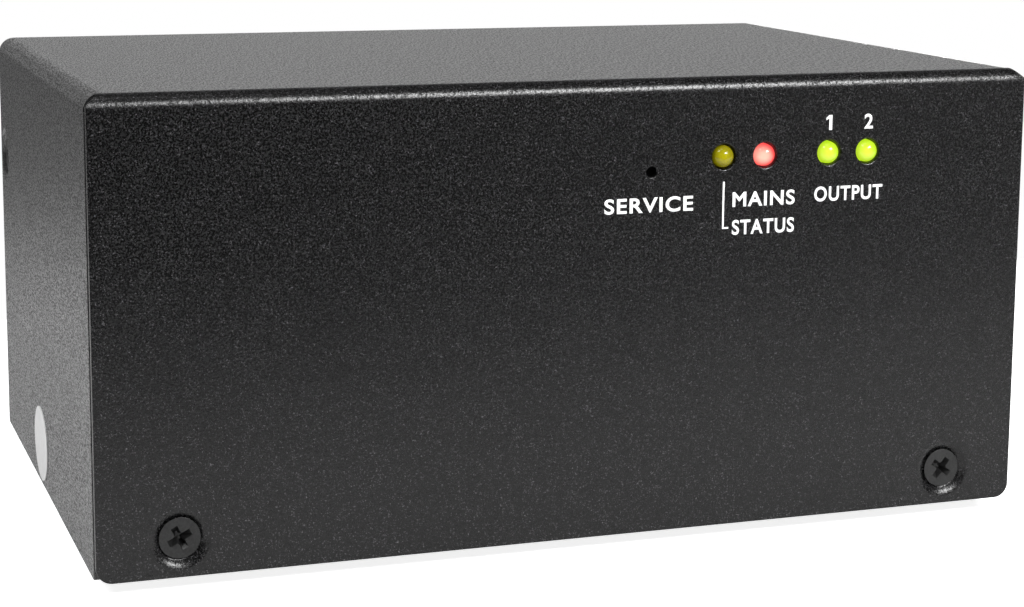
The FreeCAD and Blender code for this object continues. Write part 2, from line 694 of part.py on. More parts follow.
def fuse():
    """A small cartridge fuse, lying across the drawer."""
    return rod(FUSE_RADIUS, FUSE_LENGTH, Vector(INLET_X - FUSE_LENGTH / 2, FUSE_Y, FUSE_Z), Vector(1, 0, 0))


def contact_pocket():
    """Depth limits of the hollow behind an outlet's face that holds its spring contacts."""
    face = FLANGE_FACE - CORE_RECESS - SLOT_FACE
    return face - CONTACT_LENGTH, face


def outlet_contact(x, z):
    """A forked spring contact that grips a pin, with a flat tab behind."""
    back, front = contact_pocket()
    inner = PIN_THICKNESS / 2
    outer = inner + CONTACT_LEAF
    tab = TAB_THICKNESS / 2
    profile = [
        (x - outer, front, 0), (x - outer, back, 0), (x - tab, back, 0), (x - tab, TAB_END, 0),
        (x + tab, TAB_END, 0), (x + tab, back, 0), (x + outer, back, 0), (x + outer, front, 0),
        (x + inner, front, 0), (x + inner, back + CONTACT_LEAF, 0), (x - inner, back + CONTACT_LEAF, 0),
        (x - inner, front, 0),
    ]
    return prism(profile, "xy", z - TAB_WIDTH / 2, z + TAB_WIDTH / 2)


def outlet_contacts(x):
    """The three contacts of one outlet."""
    return [outlet_contact(*place) for place in pin_places(x, CONNECTOR_Z).values()]


def outlet_bore(x, end):
    """The inside of an outlet's shell, from its rear to this end."""
    edge = connector_outline(x, CONNECTOR_Z, MOAT_WIDTH, MOAT_HEIGHT, SOCKET_CHAMFER)
    return prism(edge, "xz", CONNECTOR_BACK, end)


def outlet_shell(x):
    """An outlet's shell: the flange and a tube open at both ends."""
    return connector_body(x, OUTLET_BODY_WIDTH, OUTLET_BODY_HEIGHT).cut(outlet_bore(x, FLANGE_FACE))


def outlet_core(x):
    """An outlet's insert: a base that fills the shell's rear, and a slotted core for the plug."""
    moat_end = FLANGE_FACE - MOAT_DEPTH
    base = outlet_bore(x, moat_end)
    nose = connector_outline(x, CONNECTOR_Z, CORE_WIDTH, CORE_HEIGHT, SOCKET_CHAMFER)
    core = prism(nose, "xz", moat_end, FLANGE_FACE - CORE_RECESS)
    back, front = contact_pocket()
    cuts = outlet_contacts(x)
    for pin_x, pin_z in pin_places(x, CONNECTOR_Z).values():
        slot_z = around(pin_z, PIN_WIDTH + 2 * SLOT_CLEARANCE)
        cuts.append(block(around(pin_x, PIN_THICKNESS + 2 * SLOT_CLEARANCE), (front, FLANGE_FACE), slot_z))
        pocket_width = PIN_THICKNESS + 2 * CONTACT_LEAF
        cuts.append(block(around(pin_x, pocket_width), (back, front), around(pin_z, TAB_WIDTH)))
    return base.fuse(core).cut(cuts)


def network_jack():
    """A shielded network jack on the control board, its port open to the rear."""
    face = PANEL_OUT + JACK_PROUD
    body = block(around(JACK_X, JACK_WIDTH), (face - JACK_DEPTH, face),
                 (CONTROL_TOP, CONTROL_TOP + JACK_HEIGHT))
    sill = CONTROL_TOP + PORT_SILL
    depth = (face - PORT_DEPTH, face)
    port = block(around(JACK_X, PORT_WIDTH), depth, (sill, sill + PORT_HEIGHT))
    key = block(around(JACK_X, KEY_WIDTH), depth, (sill - KEY_HEIGHT, sill))
    return body.cut([port, key])


def jack_contacts():
    """Thin sprung wires that slope down from the roof of the jack's port."""
    back = PANEL_OUT + JACK_PROUD - PORT_DEPTH
    roof = CONTROL_TOP + PORT_SILL + PORT_HEIGHT
    front = back + JACK_CONTACT_LENGTH
    low = roof - JACK_CONTACT_DROP
    profile = [(back, low - JACK_CONTACT, 0), (back, low, 0), (front - JACK_CONTACT, roof, 0),
               (front, roof, 0)]
    first = JACK_X - JACK_PITCH * (JACK_CONTACTS - 1) / 2
    return [prism(profile, "yz", *around(first + JACK_PITCH * i, JACK_CONTACT))
            for i in range(JACK_CONTACTS)]


def rear_places(kind):
    """The pins of one kind in the inlet and both outlets."""
    sockets = [(INLET_X, SOCKET_Z), (OUTLET_1_X, CONNECTOR_Z), (OUTLET_2_X, CONNECTOR_Z)]
    return [pin_places(x, z)[kind] for x, z in sockets]


def earth_tabs():
    """The earth tabs as they pass through the earthing comb."""
    widths = [PIN_WIDTH, TAB_WIDTH, TAB_WIDTH]
    return [block(around(x, TAB_THICKNESS), (TAB_END, CONNECTOR_BACK), around(z, width))
            for (x, z), width in zip(rear_places("earth"), widths)]


def earth_comb():
    """A stamped strip that joins the earth tabs and bends back along the floor to fork round the stud."""
    depth = (COMB_FRONT, COMB_FRONT + COMB_THICKNESS)
    places = rear_places("earth")
    ends = [places[0][0] - COMB_WIDTH / 2, places[-1][0] + COMB_WIDTH / 2]
    bar = block(ends, depth, (FLOOR_TOP, FLOOR_TOP + COMB_BAR))
    fingers = [block(around(x, COMB_WIDTH), depth, (FLOOR_TOP, z + COMB_WIDTH / 2)) for x, z in places]
    foot = block(around(OUTLET_1_X, COMB_FOOT), (COMB_FRONT, COMB_FRONT + COMB_FOOT),
                 (FLOOR_TOP, FLOOR_TOP + COMB_THICKNESS))
    fork = 2 * (STUD_RADIUS + HOLE_CLEARANCE)
    notch = block(around(OUTLET_1_X, fork), (stud_base().y - fork / 2, COMB_FRONT + COMB_FOOT),
                  (FLOOR_TOP, FLOOR_TOP + COMB_THICKNESS))
    return bar.fuse(fingers + [foot]).cut(earth_tabs() + [notch]).removeSplitter()


def stud_base():
    """The foot of the earth stud, on the chassis floor under the first outlet."""
    return Vector(OUTLET_1_X, COMB_FRONT + COMB_FOOT / 2 + COMB_THICKNESS, FLOOR_TOP)


def earth_nut():
    """The hexagonal nut that clamps the comb's foot on the stud."""
    base = stud_base()
    low = FLOOR_TOP + COMB_THICKNESS
    solid = prism(hexagon(base.x, base.y, STUD_NUT_ACROSS), "xy", low, low + STUD_NUT_HEIGHT)
    return solid.cut(rod(STUD_RADIUS + THREAD_CLEARANCE, STUD_NUT_HEIGHT, Vector(base.x, base.y, low), UP))


def strip(x, z, reach):
    """A stamped strip from the end of a connector's tab, forward and then down to the power board."""
    z0, z1 = around(z, STRIP_WIDTH)
    tip = TAB_END - reach
    return prism([(TAB_END, z0, 0), (TAB_END, z1, 0), (tip, z1, 0), (tip, POWER_TOP, 0),
                  (tip + STRIP_WIDTH, POWER_TOP, 0), (tip + STRIP_WIDTH, z0, 0)],
                 "yz", *around(x, TAB_THICKNESS))


def line_strips():
    """From the second fuse contact, and from the line contacts of both outlets, to the power board."""
    starts = [(INLET_X + PIN_PITCH / 2, DRAWER_Z)] + rear_places("line")[1:]
    return [strip(x, z, LINE_REACH) for x, z in starts]


def neutral_strips():
    """From the neutral pin of the inlet and of both outlets to the power board."""
    return [strip(x, z, NEUTRAL_REACH) for x, z in rear_places("neutral")]


def fuse_link():
    """A strip behind the inlet from the line pin's tab down to the first fuse contact."""
    x, z = rear_places("line")[0]
    side = x + TAB_THICKNESS / 2
    return block((side, side + TAB_THICKNESS), around((TAB_END + CONNECTOR_BACK) / 2, FUSE_LINK_WIDTH),
                 (DRAWER_Z - TAB_WIDTH / 2, z + PIN_WIDTH / 2))


def save(name, solids):
    """Write one sub-part, as one solid or as a group of separate ones."""
    shape = Part.makeCompound(solids) if isinstance(solids, list) else solids
    shape.exportStep(os.path.join("parts", name + ".step"))
    print(name, len(shape.Solids), "solids", round(shape.Volume, 1), "mm3", "valid", shape.isValid())


def main():
    os.makedirs("parts", exist_ok=True)
    parts = {
        "cover": cover(),
        "chassis": chassis(),
        "cover_screws": [cover_screw(*place) for place in screw_places()],
        "rubber_feet": rubber_feet(),
        "side_label": side_label(),
        "power_board": board((POWER_FRONT, POWER_REAR), POWER_TOP),
        "control_board": board((CONTROL_FRONT, CONTROL_REAR), CONTROL_TOP),
        "lower_spacers": hexagon_posts(SPACER_ACROSS, FLOOR_TOP, FLOOR_TOP + SPACER_HEIGHT),
        "pillars": hexagon_posts(SPACER_ACROSS, POWER_TOP, CONTROL_UNDER),
        "board_nuts": hexagon_posts(BOARD_NUT_ACROSS, CONTROL_TOP, CONTROL_TOP + BOARD_NUT_HEIGHT),
        "lamp_holders": lamp_holders(),
        "button_switch": switch_body(),
        "button_plunger": button_plunger(),
        "relay_1": relay(OUTLET_1_X),
        "relay_2": relay(OUTLET_2_X),
        "supply_module": supply_module(),
        "suppressor": suppressor(),
        "smoothing_capacitor": smoothing_capacitor(),
        "control_chip": control_chip(),
        "link_ribbon": link_ribbon(),
        "mains_inlet": mains_inlet(),
        "inlet_pins": inlet_pins(),
        "fuse_contacts": fuse_contacts(),
        "fuse_link": fuse_link(),
        "fuse_drawer": fuse_drawer(),
        "fuse": fuse(),
        "outlet_1": outlet_shell(OUTLET_1_X),
        "outlet_2": outlet_shell(OUTLET_2_X),
        "outlet_1_core": outlet_core(OUTLET_1_X),
        "outlet_2_core": outlet_core(OUTLET_2_X),
        "outlet_1_contacts": outlet_contacts(OUTLET_1_X),
        "outlet_2_contacts": outlet_contacts(OUTLET_2_X),
        "network_jack": network_jack(),
        "jack_contacts": jack_contacts(),
        "earth_comb": earth_comb(),
        "earth_stud": rod(STUD_RADIUS, COMB_THICKNESS + STUD_NUT_HEIGHT + STUD_PROUD, stud_base(), UP),
        "earth_nut": earth_nut(),
        "line_strips": line_strips(),
        "neutral_strips": neutral_strips(),
    }
    parts.update({name: lamp(x) for name, x in LAMPS.items()})
    parts.update(link_sockets())
    for name, solids in parts.items():
        save(name, solids)


main()
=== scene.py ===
# %% [markdown]
# # A small switched power box
# The object is a black sheet-steel box the size of a thick paperback. Its cover is one folded sheet, and
# four lamps, a pinhole and two screws are all that its front shows. The mains sockets are on its back.
# The packed model holds every part at its true place, so the lesson starts by loading it. What the camera
# looks at closely is then modelled again by hand with round edges, and everything gets a finish.

# %% Load the fixed frame
import json
import math

import bmesh
import bpy
from mathutils import Matrix, Vector


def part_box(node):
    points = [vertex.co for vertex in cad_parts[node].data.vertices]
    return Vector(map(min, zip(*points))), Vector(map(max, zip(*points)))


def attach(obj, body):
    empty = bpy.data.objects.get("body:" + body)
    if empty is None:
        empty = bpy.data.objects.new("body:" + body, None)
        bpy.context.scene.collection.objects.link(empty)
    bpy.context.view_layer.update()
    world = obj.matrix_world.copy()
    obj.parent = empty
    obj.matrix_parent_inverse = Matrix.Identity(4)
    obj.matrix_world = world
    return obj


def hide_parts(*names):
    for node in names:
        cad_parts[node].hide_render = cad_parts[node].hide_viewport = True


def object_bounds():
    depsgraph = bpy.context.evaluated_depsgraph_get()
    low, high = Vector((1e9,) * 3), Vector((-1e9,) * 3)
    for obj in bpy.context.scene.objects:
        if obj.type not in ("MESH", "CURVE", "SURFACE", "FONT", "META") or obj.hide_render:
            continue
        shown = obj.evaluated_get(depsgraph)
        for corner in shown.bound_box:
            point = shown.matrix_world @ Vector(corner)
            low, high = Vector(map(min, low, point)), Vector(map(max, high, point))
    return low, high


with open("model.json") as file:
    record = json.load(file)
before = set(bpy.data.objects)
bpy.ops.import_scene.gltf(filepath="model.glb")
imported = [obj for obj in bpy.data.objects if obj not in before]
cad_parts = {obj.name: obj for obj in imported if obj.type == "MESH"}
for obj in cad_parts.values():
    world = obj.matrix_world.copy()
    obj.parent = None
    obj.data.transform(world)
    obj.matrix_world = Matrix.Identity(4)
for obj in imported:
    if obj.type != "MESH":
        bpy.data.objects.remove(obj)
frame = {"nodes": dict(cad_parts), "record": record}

MM = 0.001
cad_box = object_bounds()
nodes = frame["nodes"]
print("frame:", len(nodes), "nodes,", [round(size / MM, 1) for size in cad_box[1] - cad_box[0]], "mm")

# %% [markdown]
# ## The camera
# The photographer stood in front, a little to the left, and looked slightly down through a long lens. The
# picture was moved up on the sensor, which a lens shift repeats. A camera can be aimed with a constraint,
# but here its three axes were worked out from the corners of the box, so they are written straight into
# its matrix.

# %% Place the camera
LENS = 80.0
LENS_SHIFT = -0.0802
YAW = math.radians(19.34)
PITCH = math.radians(9.28)
ROLL = math.radians(-0.42)
CAMERA_PLACE = Vector((-104.25, -311.01, 90.86)) * MM


def camera_matrix(place):
    """The camera's turn and place: it looks along its own minus z."""
    ahead = Vector((math.sin(YAW) * math.cos(PITCH), math.cos(YAW) * math.cos(PITCH), -math.sin(PITCH)))
    level = Vector((math.cos(YAW), -math.sin(YAW), 0))
    right = level * math.cos(ROLL) + ahead.cross(level) * math.sin(ROLL)
    above = right.cross(ahead)
    turn = Matrix((right, above, -ahead)).transposed()
    return Matrix.Translation(place) @ turn.to_4x4()


bpy.ops.object.camera_add()
camera = bpy.context.object
camera.name = "photo_camera"
camera.data.lens = LENS
camera.data.shift_y = LENS_SHIFT
camera.data.clip_start = 0.01
camera.matrix_world = camera_matrix(CAMERA_PLACE)
bpy.context.scene.camera = camera
print("camera: lens", LENS, "mm, looking down", round(math.degrees(PITCH), 1), "degrees")

# %% [markdown]
# ## Shader maths as plain expressions
# A finish is a small graph of nodes. Wiring it by hand in the editor is slow to read back, so one class
# wraps a socket: adding or multiplying two of them adds the Math node, and one method adds any other
# node.


# %% Wrap a shader socket
class Signal:
    """One output socket of a node tree. Arithmetic on it adds Math nodes."""

    def __init__(self, tree, socket=None):
        self.tree = tree
        self.socket = socket

    def node(self, kind, settings=None, inputs=None, output=0):
        """Add a node of this type, with its settings and then the values or links of its sockets."""
        made = self.tree.nodes.new(kind)
        for name, value in (settings or {}).items():
            setattr(made, name, value)
        for name, value in (inputs or {}).items():
            if isinstance(value, Signal):
                self.tree.links.new(value.socket, made.inputs[name])
            else:
                made.inputs[name].default_value = value
        return Signal(self.tree, made.outputs[output])

    def math(self, operation, *values):
        return self.node("ShaderNodeMath", {"operation": operation}, dict(enumerate(values)))

    def __add__(self, other):
        return self.math("ADD", self, other)

    def __sub__(self, other):
        return self.math("SUBTRACT", self, other)

    def __rsub__(self, other):
        return self.math("SUBTRACT", other, self)

    def __mul__(self, other):
        return self.math("MULTIPLY", self, other)

    def __truediv__(self, other):
        return self.math("DIVIDE", self, other)

    def __pow__(self, other):
        return self.math("POWER", self, other)

    __radd__ = __add__
    __rmul__ = __mul__

    def smooth(self, low, high):
        """0 below low, 1 above high and a soft step between."""
        return self.node("ShaderNodeMapRange", {"interpolation_type": "SMOOTHSTEP"},
                         {"Value": self, "From Min": low, "From Max": high})

    def axes(self):
        """The x, y and z of a vector as three signals."""
        split = self.node("ShaderNodeSeparateXYZ", inputs={"Vector": self}).socket.node
        return [Signal(self.tree, split.outputs[axis]) for axis in "XYZ"]

    def mix(self, first, second):
        """A colour between two, this value being the share of the second."""
        return self.node("ShaderNodeMix", {"data_type": "RGBA"}, {0: self, 6: first, 7: second}, output=2)


def grey(value, tint=(1, 1, 1)):
    """A linear colour from one value and a slight tint."""
    return (value * tint[0], value * tint[1], value * tint[2], 1)


print("signal makes:", [name for name in vars(Signal) if not name.startswith("_")])

# %% [markdown]
# ## Light and ground
# The photograph is cut out on white, and its light tells what stood around the box. The top and the left
# side are bright because they mirror a white sweep behind the box at a flat angle, and the front is dark
# because the studio behind the camera was. A world that is bright behind and dim in front does the same.
# The camera itself sees white everywhere. A large softbox on the right draws the bright line along the
# front bend, and small ones lift the floor, the sides and the back, which the photograph's own lamps must
# have reached too.

# %% Light the studio
TENT = 0.12
SWEEP = 0.92
DARK_SIDE = 0.05
DARK_WAY = Vector((0.30, -0.95, 0.12)).normalized()
DARK_START, DARK_FULL = 0.45, 0.85
GROUND = 0.78
GROUND_LOSS = 0.59
HORIZON = 0.11
RIGHT_WALL = 0.7
UPPER_LOSS = 0.5
# Each soft step lies between two values of a direction's x, y or z, where z is 0 at the horizon.
GROUND_STEP = (-0.19, -0.135)
HORIZON_STEP = (-0.06, 0)
WALL_STEP = (0.03, 0.1)
RIGHT_STEP = (-0.2, 0.2)
DIM_STEP = (0.13, 0.18)
END_STEP = (0.22, 0.5)
BACK_STEP = (-0.1, 0.6)
TENT_STEP = (-0.06, 0.06)


def studio_world():
    """White to the camera. For light: a pale tent, a bright sweep behind and a dark side in front."""
    world = bpy.data.worlds.new("studio")
    world.use_nodes = True
    tree = world.node_tree
    tree.nodes.clear()
    start = Signal(tree)
    x, y, z = start.node("ShaderNodeTexCoord", output="Generated").axes()
    ground = GROUND - GROUND_LOSS * z.smooth(*GROUND_STEP) + HORIZON * z.smooth(*HORIZON_STEP)
    low = ground + RIGHT_WALL * z.smooth(*WALL_STEP) * x.smooth(*RIGHT_STEP)
    band = low * (1 - UPPER_LOSS * z.smooth(*DIM_STEP)) * (1 - z.smooth(*END_STEP))
    sweep = y.smooth(*BACK_STEP) * band
    facing = x * DARK_WAY.x + y * DARK_WAY.y + z * DARK_WAY.z
    dark = facing.smooth(DARK_START, DARK_FULL)
    pale = TENT * z.smooth(*TENT_STEP) + (SWEEP - TENT) * sweep
    level = pale + dark * (DARK_SIDE - pale)
    paths = start.node("ShaderNodeLightPath").socket.node.outputs
    direct = [Signal(tree, paths[kind]) for kind in ("Is Camera Ray", "Is Transmission Ray")]
    ray = start.math("MAXIMUM", *direct)
    seen = ray + (1 - ray) * level
    light = start.node("ShaderNodeBackground", inputs={"Color": grey(1), "Strength": seen})
    end = tree.nodes.new("ShaderNodeOutputWorld")
    tree.links.new(light.socket, end.inputs["Surface"])
    return world


def area_lamp(name, place, aim, width, height, power):
    """A softbox turned to a point."""
    bpy.ops.object.light_add(type="AREA", location=place)
    lamp = bpy.context.object
    lamp.name = name
    lamp.data.shape = "RECTANGLE"
    lamp.data.size = width
    lamp.data.size_y = height
    lamp.data.energy = power
    lamp.rotation_euler = (Vector(aim) - Vector(place)).to_track_quat("-Z", "Y").to_euler()
    return lamp


bpy.context.scene.world = studio_world()
bpy.context.scene.view_settings.view_transform = "Standard"
centre = (cad_box[0] + cad_box[1]) / 2
# Each softbox: its name, its place, the point it faces, its width and height in metres, its watts.
SOFTBOXES = (
    ("right_softbox", (0.30, -0.76, 0.60), centre, 0.5, 0.2, 8.0),
    ("right_fill", (0.60, -0.95, 0.02), centre, 0.5, 0.4, 0.3),
    ("far_left_softbox", (-0.49, -0.17, 0.76), centre, 0.2, 0.2, 1.8),
    ("top_softbox", (-0.10, -0.05, 0.65), (-0.05, -0.02, 0), 0.3, 0.15, 0.4),
    ("floor_softbox", (0.22, -0.40, 0.34), (0.12, -0.10, 0), 0.20, 0.14, 1.9),
    ("side_fill", (-0.45, 0.06, 0.40), (-0.06, 0, 0.02), 0.2, 0.2, 1.1),
    ("rear_fill", (0.45, 0.60, 0.032), (0, 0.04, 0.032), 0.3, 0.058, 2.0),
)
for softbox in SOFTBOXES:
    area_lamp(*softbox)

# %% [markdown]
# The floor is a sheet of pale paper that the box stands on. Its shadow is real: only what the camera sees
# of the lit paper is lifted to white. It ends a hand's breadth behind the box, so the left side mirrors
# the bright sweep beyond.

# %% Lay the floor
FLOOR_LOW = Vector((-0.40, -0.15, 0))
FLOOR_HIGH = Vector((0.60, 0.13, 0))
PAPER = 0.86


def new_plane(name, size, place=(0, 0, 0)):
    """Add a square plane, with nothing else selected."""
    bpy.ops.object.select_all(action="DESELECT")
    bpy.ops.mesh.primitive_plane_add(size=size, location=place)
    plane = bpy.context.object
    plane.name = name
    return plane


floor = new_plane("floor", 1, (FLOOR_LOW + FLOOR_HIGH) / 2)
floor.scale = FLOOR_HIGH - FLOOR_LOW + Vector((0, 0, 1))


def floor_paper():
    """Matt white paper that also looks white to the camera where no shadow falls."""
    material = bpy.data.materials.new("floor_paper")
    material.use_nodes = True
    tree = material.node_tree
    tree.nodes.clear()
    start = Signal(tree)
    paper = start.node("ShaderNodeBsdfDiffuse", inputs={"Color": grey(PAPER)})
    lift = start.node("ShaderNodeEmission", inputs={"Color": grey(1), "Strength": PAPER})
    both = start.node("ShaderNodeAddShader", inputs={0: paper, 1: lift})
    ray = start.node("ShaderNodeLightPath", output="Is Camera Ray")
    seen = start.node("ShaderNodeMixShader", inputs={0: ray, 1: paper, 2: both})
    end = tree.nodes.new("ShaderNodeOutputMaterial")
    tree.links.new(seen.socket, end.inputs["Surface"])
    return material


floor.data.materials.append(floor_paper())
print("floor:", [round(size, 2) for size in FLOOR_HIGH - FLOOR_LOW], "m")

# %% [markdown]
# ## Finishes
# Each finish is a Principled shader whose colour, roughness and bump come from noise on the piece's own
# coordinates. Noise has no seams, needs no unwrapping and has a real size: a scale of 5000 per metre is a
# grain of 0.2 mm.


# %% Start a finish
def finish(name, roughness, metallic=0.0, **constants):
    """A material with a Principled shader: returns it, the shader's inputs and the object coordinates."""
    material = bpy.data.materials.new(name)
    material.use_nodes = True
    tree = material.node_tree
    shader = tree.nodes["Principled BSDF"]
    shader.inputs["Roughness"].default_value = roughness
    shader.inputs["Metallic"].default_value = metallic
    for socket, value in constants.items():
        shader.inputs[socket.replace("_", " ")].default_value = value
    place = Signal(tree).node("ShaderNodeTexCoord", output="Object")
    return material, shader.inputs, place


def noise(place, per_metre, detail=2.0, rough=0.5):
    """Cloudy noise with this many grains to the metre."""
    return place.node("ShaderNodeTexNoise", inputs={"Vector": place, "Scale": per_metre, "Detail": detail,
                                                   "Roughness": rough})


def connect(signal, socket):
    """Feed a shader's input."""
    signal.tree.links.new(signal.socket, socket)


def bump(height, strength, depth, socket):
    """Raise a surface by a height signal, as deep as this many metres."""
    inputs = {"Strength": strength, "Distance": depth, "Height": height}
    connect(height.node("ShaderNodeBump", inputs=inputs), socket)


print("to make finishes:", [helper.__name__ for helper in (finish, noise, connect, bump)])

# %% [markdown]
# ### The textured coat
# Powder paint is sprayed dry and baked. It melts into a skin of fine bumps a fifth of a millimetre apart.
# Three noises give the bumps, and a fourth sprinkles the black with paler specks, painted glints of the
# grain. The top and the sides are mostly seen at a flat angle, where bumps hide each other and only their
# crests shine. There a noise drawn out along the depth of the box sets glossy crests between duller
# hollows.

# %% Make the coat
COAT_TINT = (1, 0.97, 1.04)
COAT_BLACK = 0.002
# The colour of the paler specks, which are painted glints of the grain.
GLINT_SPECK_GREY = 0.11
COAT_RELIEF = 0.11 * MM
COAT_GLOSS = 0.22
HOLLOW_DULL = 0.12
SIDE_STEP = (62.2 * MM, 63.4 * MM)
TOP_STEP = (60.0 * MM, 61.9 * MM)
FRONT_STEP = (-42.2 * MM, -41.2 * MM)


def flat_part(place):
    """1 on the top and the sides of the box, 0 on its front."""
    x, y, z = place.axes()
    sides = x.math("ABSOLUTE", x).smooth(*SIDE_STEP)
    above = z.smooth(*TOP_STEP)
    return x.math("MAXIMUM", sides, above) * y.smooth(*FRONT_STEP)


def black_coat():
    """Black powder paint with a fine bumpy grain."""
    material, shader, place = finish("black_coat", 0.3, IOR=1.42, Coat_Roughness=0.3)
    fine = noise(place, 3600, 3.0, 0.7)
    middle = noise(place, 2700, 2.0)
    coarse = noise(place, 500, 2.0)
    speck = fine.smooth(0.57, 0.70)
    # Paler specks in the colour: painted glints of the grain.
    painted_glints = noise(place, 5600, 2.0, 0.6).smooth(0.62, 0.70)
    connect(painted_glints.mix(grey(COAT_BLACK, COAT_TINT), grey(GLINT_SPECK_GREY, COAT_TINT)), shader["Base Color"])
    bump(speck * 0.35 + fine * 0.3 + middle * 0.15 + coarse * 0.06, 1.0, COAT_RELIEF, shader["Normal"])
    drawn = place.node("ShaderNodeMapping", inputs={"Vector": place, "Scale": (1, 0.22, 1)})
    crest = noise(drawn, 5500, 1.0).smooth(0.45, 0.55)
    flat = flat_part(place)
    connect(flat * crest, shader["Coat Weight"])
    grain = fine.smooth(0.3, 0.7) * 0.10
    connect(COAT_GLOSS + grain + flat * (1 - crest) * HOLLOW_DULL, shader["Roughness"])
    return material


finishes = {"black_coat": black_coat()}
print("coat:", len(finishes["black_coat"].node_tree.nodes), "nodes")

# %% [markdown]
# ### Metals and plastics
# Inside the box nothing is polished. Each metal and plastic is the same small recipe with its own colour,
# shine and size of grain, so one function makes them all.


# %% Make the plain finishes
def grained(name, dark, light, roughness, grain, metallic=0.0, relief=0.15, depth=0.00004, **constants):
    """A finish between two colours, with a grain of this many to the metre."""
    material, shader, place = finish(name, roughness, metallic, **constants)
    fine = noise(place, grain)
    slow = noise(place, grain / 40, 3.0)
    share = fine * 0.5 + slow * 0.5
    connect(share.smooth(0.3, 0.7).mix(dark, light), shader["Base Color"])
    connect(roughness - 0.06 + fine * 0.12, shader["Roughness"])
    bump(fine, relief, depth, shader["Normal"])
    return material


def plain_finishes():
    """The finish of every slot that needs no recipe of its own."""
    recipes = {
        "black_steel": (grey(0.012), grey(0.03), 0.34, 3500, 0.5),
        "bright_steel": (grey(0.42), grey(0.58), 0.3, 2500, 1.0),
        "foot_rubber": (grey(0.016), grey(0.03), 0.78, 4000),
        "board_laminate": ((0.004, 0.05, 0.02, 1), (0.008, 0.08, 0.03, 1), 0.42, 1800),
        "black_plastic": (grey(0.013), grey(0.022), 0.42, 4200),
        "relay_plastic": ((0.02, 0.05, 0.16, 1), (0.025, 0.065, 0.2, 1), 0.45, 3000),
        "suppressor_plastic": ((0.5, 0.32, 0.03, 1), (0.6, 0.4, 0.05, 1), 0.45, 3000),
        "capacitor_sleeve": (grey(0.02, (0.8, 0.9, 1.4)), grey(0.035, (0.8, 0.9, 1.4)), 0.35, 2500),
        "ribbon_plastic": (grey(0.32), grey(0.4), 0.5, 2500),
        "plunger_plastic": (grey(0.015), grey(0.025), 0.5, 3000),
        "contact_brass": ((0.62, 0.42, 0.14, 1), (0.72, 0.5, 0.2, 1), 0.28, 2500, 1.0),
        "plated_brass": ((0.55, 0.53, 0.48, 1), (0.68, 0.65, 0.6, 1), 0.24, 2500, 1.0),
        "fuse_body": (grey(0.6), grey(0.7), 0.3, 2500),
    }
    return {name: grained(name, *recipe) for name, recipe in recipes.items()}


finishes.update(plain_finishes())
print("finishes:", sorted(finishes))

# %% [markdown]
# ### Paper and lenses
# The oval sticker is plain coated paper with soft fibres. A lamp's lens is tinted resin: lit, it glows
# palest at its core and deepest at its rim. The pale core is painted a little to the left of the axis,
# where the chip's light shows from the front left. The distance from the axis is read from the lens's own
# place.
# Inside the box the barrel stays dark, or it would shine out through the slits of the cover.


# %% Make the paper and the lenses
def label_paper():
    """Pale coated paper with faint fibres."""
    material, shader, place = finish("label_paper", 0.55)
    fibre = noise(place, 1800, 4.0, 0.7)
    connect(fibre.smooth(0.3, 0.7).mix(grey(0.80), grey(0.88)), shader["Base Color"])
    bump(fibre, 0.2, 0.00003, shader["Normal"])
    return material


# The pale core of each lamp's glow is painted this far to the left of its axis.
PAINTED_CORE_SHIFT = -0.5 * MM
BARREL_GLOW = 1.6
RIM_SHADE = 0.6
GLOW_SPREAD = (0.3, 1.75)
BARREL_SKIN = (1.46, 1.499)
DARK_FROM = 1.9 * MM
DARK_BY = 2.4 * MM


def from_axis(place, x, z):
    """The distance of a point from a lamp's axis, in millimetres."""
    across, _, along = place.axes()
    across = (across - x) / MM
    along = (along - z) / MM
    return (across * across + along * along) ** 0.5


def faded(colour, share):
    """A colour times a factor."""
    return tuple(share * part for part in colour[:3]) + (1,)


def lens(name, node, body, core, rim):
    """Tinted resin that glows from its core to its rim."""
    low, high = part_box(node)
    middle = (low + high) / 2
    material, shader, place = finish(name, 0.14, IOR=1.42, Emission_Strength=1.0)
    # The pale core is painted left of the axis, where the chip's light shows from the front left.
    away = from_axis(place, middle.x + PAINTED_CORE_SHIFT, middle.z)
    haze = noise(place, 900, 2.0) * 0.25
    share = (away + haze).smooth(*GLOW_SPREAD)
    barrel = from_axis(place, middle.x, middle.z).smooth(*BARREL_SKIN)
    glowing = barrel.mix(share.mix(core, rim), faded(rim, BARREL_GLOW))
    inside = place.axes()[1].smooth(low.y + DARK_FROM, low.y + DARK_BY)
    connect(inside.mix(glowing, grey(0)), shader["Emission Color"])
    connect(share.mix(body, faded(body, RIM_SHADE)), shader["Base Color"])
    return material


finishes["label_paper"] = label_paper()
# The resin's own colour, then its glow at the core and at the rim.
YELLOW = ((0.27, 0.24, 0.004, 1), (0.1, 0.09, 0.0, 1), (0.02, 0.016, 0.0, 1))
RED = ((0.4, 0.02, 0.02, 1), (1.0, 0.66, 0.5, 1), (0.85, 0.07, 0.07, 1))
GREEN = ((0.2, 0.28, 0.01, 1), (0.66, 0.86, 0.07, 1), (0.36, 0.58, 0.01, 1))
lens_finishes = {
    "status_led": lens("yellow_lens", "status_led", *YELLOW),
    "mains_led": lens("red_lens", "mains_led", *RED),
    "output_led_1": lens("green_lens", "output_led_1", *GREEN),
    "output_led_2": lens("green_lens_2", "output_led_2", *GREEN),
}
print("lenses:", sorted(lens_finishes))

# %% [markdown]
# ## Finishes on the packed parts
# Most inner parts already have their right shape, so they only get a finish. The record says which slot
# each node takes, and a slot has the same name as its finish.

# %% Give each packed part its finish
for row in frame["record"]["subparts"]:
    chosen = lens_finishes.get(row["node"]) or finishes[row["material_slot"]]
    for socket in nodes[row["node"]].material_slots:
        socket.material = chosen

# %% [markdown]
# ## Working by hand from a script
# Modelling operators act on what is selected, so each step first selects by place: all points of a chosen
# edge or face have to pass a test. These helpers are the hand that clicks.


